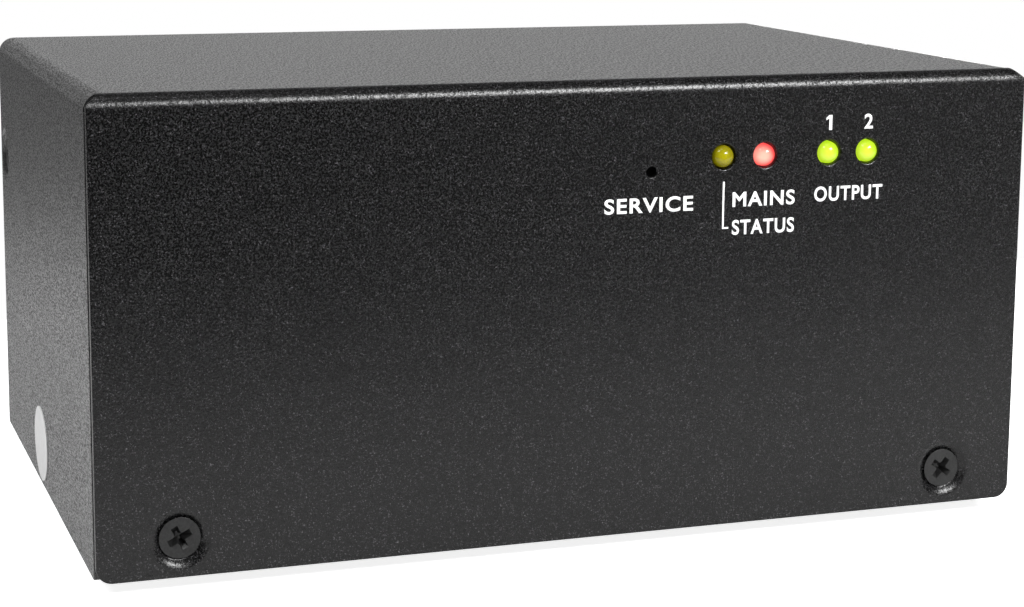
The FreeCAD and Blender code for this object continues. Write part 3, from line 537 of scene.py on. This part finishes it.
# %% Define the modelling helpers
def alone(piece):
    """Leave edit mode and make one object the only selected one."""
    if bpy.context.mode != "OBJECT":
        bpy.ops.object.mode_set(mode="OBJECT")
    bpy.ops.object.select_all(action="DESELECT")
    piece.select_set(True)
    bpy.context.view_layer.objects.active = piece


def edit(piece):
    """Open one object in edit mode with nothing selected."""
    alone(piece)
    bpy.ops.object.mode_set(mode="EDIT")
    bpy.ops.mesh.select_all(action="DESELECT")


def choose(kind, test):
    """In edit mode, select only the points, edges or faces all of whose points pass a test."""
    bpy.ops.mesh.select_mode(type=kind)
    bpy.ops.mesh.select_all(action="DESELECT")
    mesh = bmesh.from_edit_mesh(bpy.context.edit_object.data)
    items = {"VERT": mesh.verts, "EDGE": mesh.edges, "FACE": mesh.faces}[kind]
    for item in items:
        points = [item] if kind == "VERT" else item.verts
        if all(test(point.co) for point in points):
            item.select_set(True)
    bmesh.update_edit_mesh(bpy.context.edit_object.data)
    return sum(item.select for item in items)


def near(value, target):
    """The same place, to a hundredth of a millimetre."""
    return abs(value - target) < 0.01 * MM


def pull(x=0.0, y=0.0, z=0.0):
    """Extrude what is selected by a distance."""
    bpy.ops.mesh.extrude_region_move(TRANSFORM_OT_translate={"value": (x, y, z)})


def face_outward(merge=0.0):
    """In edit mode, merge points closer than a distance and turn all faces outwards."""
    bpy.ops.mesh.select_all(action="SELECT")
    if merge:
        bpy.ops.mesh.remove_doubles(threshold=merge)
    bpy.ops.mesh.normals_make_consistent(inside=False)


def modify(piece, kind, **settings):
    """Add a modifier, set it and apply it."""
    alone(piece)
    bpy.ops.object.modifier_add(type=kind)
    modifier = piece.modifiers[-1]
    for name, value in settings.items():
        setattr(modifier, name, value)
    bpy.ops.object.modifier_apply(modifier=modifier.name)


def round_edges(piece, width, segments=2, angle=35):
    """Round every edge that is sharper than an angle."""
    modify(piece, "BEVEL", width=width, segments=segments, limit_method="ANGLE",
           angle_limit=math.radians(angle))


def settle(piece):
    """Put the object's place, turn and size into its mesh."""
    alone(piece)
    bpy.ops.object.transform_apply(location=True, rotation=True, scale=True)


def soften(piece, angle=40):
    """Shade smoothly, but keep edges sharper than this angle and flat faces flat."""
    alone(piece)
    bpy.ops.object.shade_smooth_by_angle(angle=math.radians(angle))
    modify(piece, "WEIGHTED_NORMAL", keep_sharp=True)


def place_piece(piece, body, slot, material, *replaced):
    """Finish a piece: its body, its slot (not used), its material and the nodes that it stands for."""
    settle(piece)
    piece.data.materials.clear()
    piece.data.materials.append(material)
    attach(piece, body)
    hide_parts(*replaced)
    print(piece.name, len(piece.data.polygons), "faces")


print("to select:", [helper.__name__ for helper in (alone, edit, choose, near)])
print("to shape:", [helper.__name__ for helper in (pull, face_outward, modify, round_edges, soften)])

# %% [markdown]
# ## Turned shapes
# Screws, lamps and the cutters for holes are all round. A real lathe follows a profile, and so does this:
# one point is extruded from corner to corner, the corners are rounded with a vertex bevel, and the line
# is spun about its axis.


# %% Define the lathe
def lathe(name, corners, base, axis, steps=40):
    """Spin a profile of (radius, height, round) corners, in millimetres, about an axis from base."""
    piece = new_plane(name, MM)
    edit(piece)
    bpy.ops.mesh.select_mode(type="VERT")
    bpy.ops.mesh.select_all(action="SELECT")
    bpy.ops.mesh.merge(type="CENTER")
    points = [Vector((radius, 0, height)) * MM for radius, height, _ in corners]
    bpy.ops.transform.translate(value=points[0])
    for before, after in zip(points, points[1:]):
        pull(*(after - before))
    for point, (_, _, turn) in zip(points, corners):
        if turn:
            choose("VERT", lambda p: (p - point).length < 0.001 * MM)
            bpy.ops.mesh.bevel(offset=turn * MM, segments=6, affect="VERTICES")
    bpy.ops.mesh.select_all(action="SELECT")
    bpy.ops.mesh.spin(steps=steps, angle=2 * math.pi, center=(0, 0, 0), axis=(0, 0, 1))
    face_outward(merge=0.0005 * MM)
    bpy.ops.object.mode_set(mode="OBJECT")
    turn = Vector((0, 0, 1)).rotation_difference(axis).to_matrix().to_4x4()
    piece.matrix_world = Matrix.Translation(base) @ turn
    settle(piece)
    return piece


def joined(name, pieces):
    """Several meshes as one object."""
    alone(pieces[0])
    for piece in pieces:
        piece.select_set(True)
    bpy.ops.object.join()
    pieces[0].name = name
    return pieces[0]


def copied(piece, name):
    """A second object with its own mesh."""
    twin = piece.copy()
    twin.data = piece.data.copy()
    twin.name = name
    bpy.context.collection.objects.link(twin)
    return twin


def carve(piece, tool, operation):
    """Cut a tool out of a piece, or add it, and throw the tool away."""
    modify(piece, "BOOLEAN", operation=operation, solver="EXACT", object=tool)
    bpy.data.objects.remove(tool)


print("to turn and cut:", [helper.__name__ for helper in (lathe, joined, copied, carve)])

# %% [markdown]
# ## The cover
# The cover is one steel sheet: the top, two sides folded down from it, and a front folded down past the
# ends of the sides, with an open slit between. It could be a box with bevelled edges, but then the slit,
# the sheet's thickness and the cut corners would be missing. So it is folded as in the shop: a flat
# plane, each bend a spun edge, each wall an extruded edge, and the thickness last.

# %% Read the cover's sizes
SHEET = 1.0 * MM
SIDE_BEND = 2.3 * MM
FRONT_BEND = 1.9 * MM
SLIT = 0.2 * MM
SIDE_REACH = 0.4 * MM
EAR_WIDTH = 1.4 * MM
EAR_HEIGHT = 1.2 * MM
FRONT_CORNER = 2.0 * MM
SIDE_CORNER = 1.0 * MM
EDGE_ROUND = 0.14 * MM
cover_low, cover_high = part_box("cover")
half = cover_high.x
top = cover_high.z
edge = cover_low.z
front = cover_low.y
rear = cover_high.y
fold_half = half - SIDE_BEND
fold_y = front + FRONT_BEND
strip_end = fold_y + SLIT
slit_end = strip_end + SLIT
print("cover:", [round(size / MM, 1) for size in cover_high - cover_low], "mm")

# %% Fold the top and the sides
cover = new_plane("folded_cover", 1, (0, (slit_end + rear) / 2, top))
cover.scale = (2 * fold_half, rear - slit_end, 1)
settle(cover)
edit(cover)
for side in (-1, 1):
    choose("EDGE", lambda p: near(p.x, side * fold_half))
    bpy.ops.mesh.spin(steps=10, angle=-side * math.pi / 2, center=(side * fold_half, 0, top - SIDE_BEND),
                      axis=(0, 1, 0))
    choose("EDGE", lambda p: near(p.x, side * half))
    pull(z=edge - top + SIDE_BEND)
print("open at the front end:", choose("EDGE", lambda p: near(p.y, slit_end)), "edges")

# %% Fold the front
choose("EDGE", lambda p: near(p.y, slit_end) and near(p.z, top))
pull(y=-SLIT)
pull(y=-SLIT)
for side in (-1, 1):
    choose("EDGE", lambda p: near(p.x, side * fold_half) and p.y < strip_end + 0.01 * MM)
    pull(x=side * SIDE_BEND)
choose("EDGE", lambda p: near(p.y, fold_y))
bpy.ops.mesh.spin(steps=10, angle=-math.pi / 2, center=(0, fold_y, top - FRONT_BEND), axis=(1, 0, 0))
choose("EDGE", lambda p: near(p.y, front))
pull(z=edge - top + FRONT_BEND)
for side in (-1, 1):
    choose("FACE", lambda p: p.y < strip_end + 0.01 * MM)
    bpy.ops.mesh.bisect(plane_co=(side * half, 0, top - EAR_HEIGHT),
                        plane_no=Vector((side * EAR_HEIGHT, 0, EAR_WIDTH)).normalized(), clear_outer=True,
                        threshold=0.001 * MM)
print("folded sheet:", len(bmesh.from_edit_mesh(cover.data).faces), "faces")

# %% Round the corners and close in the sides
choose("VERT", lambda p: near(abs(p.x), half) and near(p.z, edge) and near(p.y, front))
bpy.ops.mesh.bevel(offset=FRONT_CORNER, segments=8, affect="VERTICES")
choose("EDGE", lambda p: near(abs(p.x), half) and near(p.y, slit_end))
pull(y=-SIDE_REACH)
choose("VERT", lambda p: near(abs(p.x), half) and near(p.z, edge) and near(p.y, slit_end - SIDE_REACH))
bpy.ops.mesh.bevel(offset=SIDE_CORNER, segments=6, affect="VERTICES")
face_outward(merge=0.001 * MM)
alone(cover)
print("rounded sheet:", len(cover.data.polygons), "faces")

# %% Give the sheet its thickness
level = [face for face in cover.data.polygons if near(face.center.z, top)]
upward = max(level, key=lambda face: face.area).normal.z
if upward < 0:
    cover.data.flip_normals()
modify(cover, "SOLIDIFY", thickness=SHEET, offset=-1, use_even_offset=True)
round_edges(cover, EDGE_ROUND, angle=60)
edit(cover)
if choose("VERT", lambda p: p.z > top):
    bpy.ops.transform.resize(value=(1, 1, 0), center_override=(0, 0, top))
alone(cover)
print("sheet:", len(cover.data.polygons), "faces, top normal", round(upward, 2))

# %% [markdown]
# ## Dimples and holes
# A press pushes the steel in at each screw, so that the head lies below the face, and its lip is rounded
# by the drawn metal and the paint. The lamp holes are punched, with a smaller paint round. All of them
# are cut with turned tools whose profile has that round lip.

# %% Press the dimples and punch the holes
INWARD = Vector((0, 1, 0))
SCREW_INSET = 10.4 * MM
SCREW_RISE = 4.9 * MM
SIDE_SCREW_BACK = 4.3 * MM
SIDE_SCREW_RISE = 42.7 * MM
LAMP_NODES = ("status_led", "mains_led", "output_led_1", "output_led_2")
front_place = Vector((half - SCREW_INSET, front, edge + SCREW_RISE))
screw_places = [(front_place * Vector((side, 1, 1)), INWARD) for side in (-1, 1)]
side_place = Vector((half, rear - SIDE_SCREW_BACK, edge + SIDE_SCREW_RISE))
screw_places += [(side_place * Vector((side, 1, 1)), Vector((-side, 0, 0))) for side in (-1, 1)]
lamp_centres = {name: (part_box(name)[0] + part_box(name)[1]) / 2 for name in LAMP_NODES}
plunger = (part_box("button_plunger")[0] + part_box("button_plunger")[1]) / 2


def on_front(point):
    """A node's centre, moved to the cover's face."""
    return Vector((point.x, front, point.z))


# Profiles in millimetres: radius, depth below the face, round.
DIMPLE_BACK = ((0, 0.5, 0), (3.3, 0.5, 0), (3.3, 1.6, 0.2), (0, 1.6, 0))
DIMPLE = ((0, -0.5, 0), (4.2, -0.5, 0), (4.05, -0.005, 0), (3.5, 0.02, 0.75), (2.85, 0.66, 0.1),
          (2.2, 0.95, 0), (1.6, 1.55, 0), (1.6, 2.4, 0), (0, 2.4, 0))
LAMP_HOLE = ((0, -0.5, 0), (2.1, -0.5, 0), (2.03, -0.005, 0), (1.65, 0.02, 0.27), (1.65, 1.5, 0),
             (0, 1.5, 0))
PINHOLE = ((0, -0.5, 0), (1.0, -0.5, 0), (0.95, -0.005, 0), (0.75, 0.02, 0.12), (0.75, 1.5, 0),
           (0, 1.5, 0))
backs = [lathe("dimple_back", DIMPLE_BACK, *place) for place in screw_places]
carve(cover, joined("dimple_backs", backs), "UNION")
tools = [lathe("dimple_tool", DIMPLE, *place) for place in screw_places]
tools += [lathe("lamp_tool", LAMP_HOLE, on_front(middle), INWARD) for middle in lamp_centres.values()]
tools.append(lathe("pin_tool", PINHOLE, on_front(plunger), INWARD, steps=28))
carve(cover, joined("punches", tools), "DIFFERENCE")
soften(cover, 35)
place_piece(cover, "case", "black_coat", finishes["black_coat"], "cover")

# %% [markdown]
# ## The cover screws
# Four countersunk screws with a cross recess, blackened. The head is turned, and the recess is cut by a
# tapered cross: a small square whose four sides are extruded outwards, drawn down and narrowed, as the
# real driver's tip is.

# %% Turn and recess one screw
HEAD_SUNK = 0.45 * MM
SCREW = ((0, 0, 0), (2.7, 0, 0.16), (1.5, 1.2, 0.1), (1.5, 5.0, 0.3), (0, 5.0, 0))
RECESS_EDGE = 0.07 * MM
RECESS_WIDTH = 0.88 * MM
RECESS_ARM = 1.12 * MM
RECESS_ROUND = 0.26 * MM
RECESS_DEPTH = 1.5 * MM
RECESS_TAPER = 0.35
SCREW_TURNS = (63, 37, 10, 65)


def recess_tool():
    """A cross that narrows as it goes down."""
    tool = new_plane("recess_tool", RECESS_WIDTH)
    edit(tool)
    reach = RECESS_WIDTH / 2
    for x, y in ((1, 0), (-1, 0), (0, 1), (0, -1)):
        choose("EDGE", lambda p: (near(p.x * x + p.y * y, reach)
                                  and max(abs(p.x), abs(p.y)) < reach + 0.01 * MM))
        pull(x=x * RECESS_ARM, y=y * RECESS_ARM)
    bpy.ops.mesh.select_all(action="SELECT")
    bpy.ops.mesh.dissolve_limited()
    choose("VERT", lambda p: near(abs(p.x), reach) and near(abs(p.y), reach))
    bpy.ops.mesh.bevel(offset=RECESS_ROUND, segments=3, affect="VERTICES")
    bpy.ops.mesh.select_mode(type="FACE")
    bpy.ops.mesh.select_all(action="SELECT")
    pull(z=RECESS_DEPTH)
    bpy.ops.transform.resize(value=(RECESS_TAPER, RECESS_TAPER, 1))
    face_outward()
    bpy.ops.object.mode_set(mode="OBJECT")
    return tool


pattern = lathe("screw_pattern", SCREW, Vector((0, 0, 0)), Vector((0, 0, 1)), steps=48)
carve(pattern, recess_tool(), "DIFFERENCE")
round_edges(pattern, RECESS_EDGE)
print("one screw:", len(pattern.data.polygons), "faces")

# %% Drive the four screws
screws = []
for (base, inward), turn in zip(screw_places, SCREW_TURNS):
    screw = copied(pattern, "screw")
    facing = Vector((0, 0, 1)).rotation_difference(inward).to_matrix().to_4x4()
    screw.matrix_world = (Matrix.Translation(base + inward * HEAD_SUNK) @ facing
                          @ Matrix.Rotation(math.radians(turn), 4, "Z"))
    settle(screw)
    screws.append(screw)
bpy.data.objects.remove(pattern)
heads = joined("cross_screws", screws)
soften(heads, 30)
place_piece(heads, "case", "black_steel", finishes["black_steel"], "cover_screws")

# %% [markdown]
# ## The lamps
# Each lamp is a resin bullet of 3 mm with a round nose, pushed through its hole until it stands proud by
# less than a millimetre. A sphere would do for the nose alone, but the dark gap beside it shows the
# barrel, so all of it is turned.

# %% Turn the four lamps
NOSE_ROUND = 1.49
LAMP_SLOTS = {"status_led": "yellow_lens", "mains_led": "red_lens", "output_led_1": "green_lens",
              "output_led_2": "green_lens"}
lamp_size = (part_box("status_led")[1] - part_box("status_led")[0]) / MM
bullet = lathe("lens_pattern", [(0, 0, 0), (lamp_size.x / 2, 0, NOSE_ROUND),
                                (lamp_size.x / 2, lamp_size.y, 0.15), (0, lamp_size.y, 0)],
               Vector((0, 0, 0)), INWARD, steps=36)
soften(bullet, 40)
for node, middle in lamp_centres.items():
    lamp = copied(bullet, "lens_" + node)
    lamp.location = (middle.x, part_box(node)[0].y, middle.z)
    place_piece(lamp, "case", LAMP_SLOTS[node], lens_finishes[node], node)
bpy.data.objects.remove(bullet)

# %% [markdown]
# ## The moulded and pressed parts
# The inlet, the outlets and the fuse drawer are moulded, the feet are pressed rubber and the chassis is
# punched sheet. None of them has a knife edge, and the fine bright line on a round edge is what tells
# plastic from paper. Their packed shapes have the right sizes, so each mesh is copied into a new object,
# its points are merged, its flat triangles are dissolved into whole faces, and a Bevel modifier rounds
# the edges.


# %% Round the packed shapes
def whole_faces(node, name):
    """A copy of a packed part's mesh as a new object, with flat triangles joined into faces."""
    piece = bpy.data.objects.new(name, nodes[node].data.copy())
    bpy.context.collection.objects.link(piece)
    edit(piece)
    bpy.ops.mesh.select_all(action="SELECT")
    bpy.ops.mesh.remove_doubles(threshold=0.001 * MM)
    bpy.ops.mesh.dissolve_limited(angle_limit=math.radians(1))
    face_outward()
    alone(piece)
    return piece


# The edge round of each part, in millimetres.
ROUNDED = {"mains_inlet": 0.4, "outlet_1": 0.4, "outlet_2": 0.4, "outlet_1_core": 0.3,
           "outlet_2_core": 0.3, "fuse_drawer": 0.3, "inlet_pins": 0.25, "network_jack": 0.15,
           "rubber_feet": 0.4, "chassis": 0.12}
rows = {row["node"]: row for row in frame["record"]["subparts"]}
for node, width in ROUNDED.items():
    piece = whole_faces(node, "round_" + node)
    round_edges(piece, width * MM, segments=3)
    soften(piece, 40)
    slot = rows[node]["material_slot"]
    place_piece(piece, "drawer" if node == "fuse_drawer" else "case", slot, finishes[slot], node)

# %% [markdown]
# ## The lining of the network jack
# The jack is a sheet-metal shield around a black plastic block, and the port is moulded in that block. So
# the faces of the port are kept from a copy of the shield, all others are deleted, and Solidify gives the
# lining its thickness.

# %% Line the port
PORT_REACH = 6.0 * MM
LINING = 0.3 * MM
LINING_ROUND = 0.08 * MM
jack_low, jack_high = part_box("network_jack")
jack_middle = (jack_low + jack_high) / 2
lining = whole_faces("network_jack", "jack_lining")
edit(lining)
kept = choose("FACE", lambda p: (abs(p.x - jack_middle.x) < PORT_REACH
                                 and jack_low.z + MM < p.z < jack_high.z - MM))
bpy.ops.mesh.select_all(action="INVERT")
bpy.ops.mesh.delete(type="FACE")
modify(lining, "SOLIDIFY", thickness=LINING, offset=1, use_even_offset=True)
round_edges(lining, LINING_ROUND)
soften(lining, 40)
print("port:", kept, "faces kept")
place_piece(lining, "case", "black_plastic", finishes["black_plastic"])

# %% [markdown]
# ## The fuse
# The drawer carries a cartridge fuse: a glass tube with two pressed caps and a fine wire between them.
# All three are turned on the fuse's own axis, and they ride with the drawer.

# %% Turn the fuse
CAP_LENGTH = 5.0
CAP_WALL = 0.3
GLASS_WALL = 0.5
GLASS_INSET = 0.5
GLASS_PLAY = 0.01
WIRE = 0.14
fuse_low, fuse_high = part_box("fuse")
fuse_radius = (fuse_high.z - fuse_low.z) / 2 / MM
fuse_length = (fuse_high.x - fuse_low.x) / MM
fuse_middle = (fuse_low + fuse_high) / 2
fuse_start, fuse_end = [Vector((x, fuse_middle.y, fuse_middle.z)) for x in (fuse_low.x, fuse_high.x)]
ALONG = Vector((1, 0, 0))
inner = fuse_radius - CAP_WALL
cup = [(0, 0, 0), (fuse_radius, 0, 0.3), (fuse_radius, CAP_LENGTH, 0.1), (inner, CAP_LENGTH, 0.1),
       (inner, CAP_WALL, 0), (0, CAP_WALL, 0)]
caps = [lathe("fuse_cap", cup, fuse_start, ALONG), lathe("fuse_cap", cup, fuse_end, -ALONG)]
wire_end = fuse_length - CAP_WALL
wire = lathe("fuse_wire", [(0, CAP_WALL, 0), (WIRE, CAP_WALL, 0), (WIRE, wire_end, 0), (0, wire_end, 0)],
             fuse_start, ALONG, steps=12)
caps = joined("fuse_caps", caps + [wire])
soften(caps, 40)
place_piece(caps, "drawer", "plated_brass", finishes["plated_brass"], "fuse")
bore = inner - GLASS_WALL
skin = inner - GLASS_PLAY
glass_end = fuse_length - GLASS_INSET
tube = lathe("fuse_glass", [(bore, GLASS_INSET, 0), (skin, GLASS_INSET, 0.1), (skin, glass_end, 0.1),
                            (bore, glass_end, 0), (bore, GLASS_INSET, 0)], fuse_start, ALONG)
soften(tube, 40)
glass = grained("fuse_body", grey(0.86), grey(0.94), 0.08, 2500, relief=0.02, Transmission_Weight=1.0,
                IOR=1.48)
place_piece(tube, "drawer", "fuse_body", glass)

# %% [markdown]
# ## The printed legends
# Short white words are screen-printed under the lamps, and beside the sockets on the back. Text objects
# are curves, so each is made a mesh first and only then set on its face, a few hundredths of a millimetre
# thick, at the measured height of its capitals.


# %% Print the legends
CAP_HEIGHT = 2.0 * MM
INK_THICKNESS = 0.02 * MM
INK_BOLD = 0.024
TEXT_DEPTH = 0.01
LETTER_GAP = 1.12
LINE = 0.25 * MM
LINE_LENGTH = 6.0 * MM
LINE_FOOT = 0.65 * MM
STEM = 0.44 * MM
# Each word: where its middle is, its height above the cover's lower edge and its width, in millimetres.
FRONT_LEGENDS = (
    ("SERVICE", 8.5, 43.7, 12.4),
    ("MAINS", 24.8, 43.9, 9.0),
    ("STATUS", 24.8, 40.2, 9.0),
    ("OUTPUT", 37.2, 44.1, 10.1),
    ("2", 39.9, 53.6, 1.3),
)


def legend(word, width):
    """A word as a flat mesh, centred, with this width and the common height."""
    bpy.ops.object.select_all(action="DESELECT")
    bpy.ops.object.text_add()
    text = bpy.context.object
    text.data.body = word
    text.data.extrude = TEXT_DEPTH
    text.data.bevel_depth = INK_BOLD
    text.data.bevel_resolution = 0
    text.data.space_character = LETTER_GAP
    bpy.ops.object.convert(target="MESH")
    piece = bpy.context.object
    xs = [point.co.x for point in piece.data.vertices]
    ys = [point.co.y for point in piece.data.vertices]
    middle = Vector(((max(xs) + min(xs)) / 2, (max(ys) + min(ys)) / 2, 0))
    thick = 2 * (TEXT_DEPTH + INK_BOLD)
    size = (width * MM / (max(xs) - min(xs)), CAP_HEIGHT / (max(ys) - min(ys)), INK_THICKNESS / thick)
    piece.data.transform(Matrix.Diagonal(size).to_4x4() @ Matrix.Translation(-middle))
    edit(piece)
    face_outward(merge=0.0005 * MM)
    alone(piece)
    return piece


def leader_line():
    """The thin line that leads from the yellow lamp down to its word."""
    line = new_plane("leader_line", LINE)
    edit(line)
    choose("EDGE", lambda p: near(p.y, LINE / 2))
    pull(y=LINE_LENGTH)
    choose("EDGE", lambda p: near(p.x, LINE / 2) and p.y < LINE)
    pull(x=LINE_FOOT)
    bpy.ops.mesh.select_all(action="SELECT")
    pull(z=-INK_THICKNESS)
    face_outward()
    bpy.ops.object.mode_set(mode="OBJECT")
    return line


def figure_one():
    """The figure 1: the built-in font has a plain bar for it, so a bar gets a flag and is thickened."""
    one = new_plane("figure_one", STEM)
    edit(one)
    choose("EDGE", lambda p: near(p.y, -STEM / 2))
    pull(y=STEM - CAP_HEIGHT)
    choose("EDGE", lambda p: near(p.x, -STEM / 2) and p.y > -STEM)
    pull(x=-STEM, y=-0.7 * STEM)
    bpy.ops.transform.resize(value=(1, 0.8, 1))
    bpy.ops.mesh.select_all(action="SELECT")
    bpy.ops.transform.translate(value=(0.2 * STEM, CAP_HEIGHT / 2 - STEM / 2, 0))
    pull(z=-INK_THICKNESS)
    face_outward()
    bpy.ops.object.mode_set(mode="OBJECT")
    return one


ONE_PLACE = (34.2, front - INK_THICKNESS, 53.6)
LINE_PLACE = (19.0, front - INK_THICKNESS, 40.2)
UPRIGHT = Matrix.Rotation(math.pi / 2, 4, "X")
BACKWARD = Matrix.Rotation(math.pi, 4, "Z") @ UPRIGHT


def printed(piece, x, y, z, turn):
    """Set a flat mesh on the front or the back, at x and at a height above the cover's lower edge."""
    piece.matrix_world = Matrix.Translation((x * MM, y, edge + z * MM)) @ turn
    settle(piece)
    return piece


prints = [printed(legend(word, width), x, front - INK_THICKNESS / 2, z, UPRIGHT)
          for word, x, z, width in FRONT_LEGENDS]
prints.append(printed(figure_one(), *ONE_PLACE, UPRIGHT))
prints.append(printed(leader_line(), *LINE_PLACE, UPRIGHT))
ink = grained("white_ink", grey(0.84), grey(0.94), 0.5, 4500, relief=0.3, depth=0.00008)
place_piece(joined("front_legends", prints), "case", "label_paper", ink)

# %% Print the back
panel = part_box("chassis")[1].y
inlet_x, outlet_1_x, outlet_2_x = [(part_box(node)[0].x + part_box(node)[1].x) / 2 / MM
                                   for node in ("mains_inlet", "outlet_1", "outlet_2")]
REAR_LEGENDS = (
    ("INPUT", inlet_x, 43.6, 8.4),
    ("FUSE", inlet_x, 2.8, 6.6),
    ("OUTPUT", outlet_1_x + 1.4, 41.2, 10.1),
    ("OUTPUT", outlet_2_x + 1.4, 41.2, 10.1),
    ("2", outlet_2_x - 6.2, 41.2, 1.3),
    ("LAN", jack_high.x / MM + 5.0, 50.3, 5.6),
)
prints = [printed(legend(word, width), x, panel + INK_THICKNESS / 2, z, BACKWARD)
          for word, x, z, width in REAR_LEGENDS]
prints.append(printed(figure_one(), outlet_1_x - 6.2, panel + INK_THICKNESS, 41.2, BACKWARD))
place_piece(joined("rear_legends", prints), "case", "label_paper", ink)
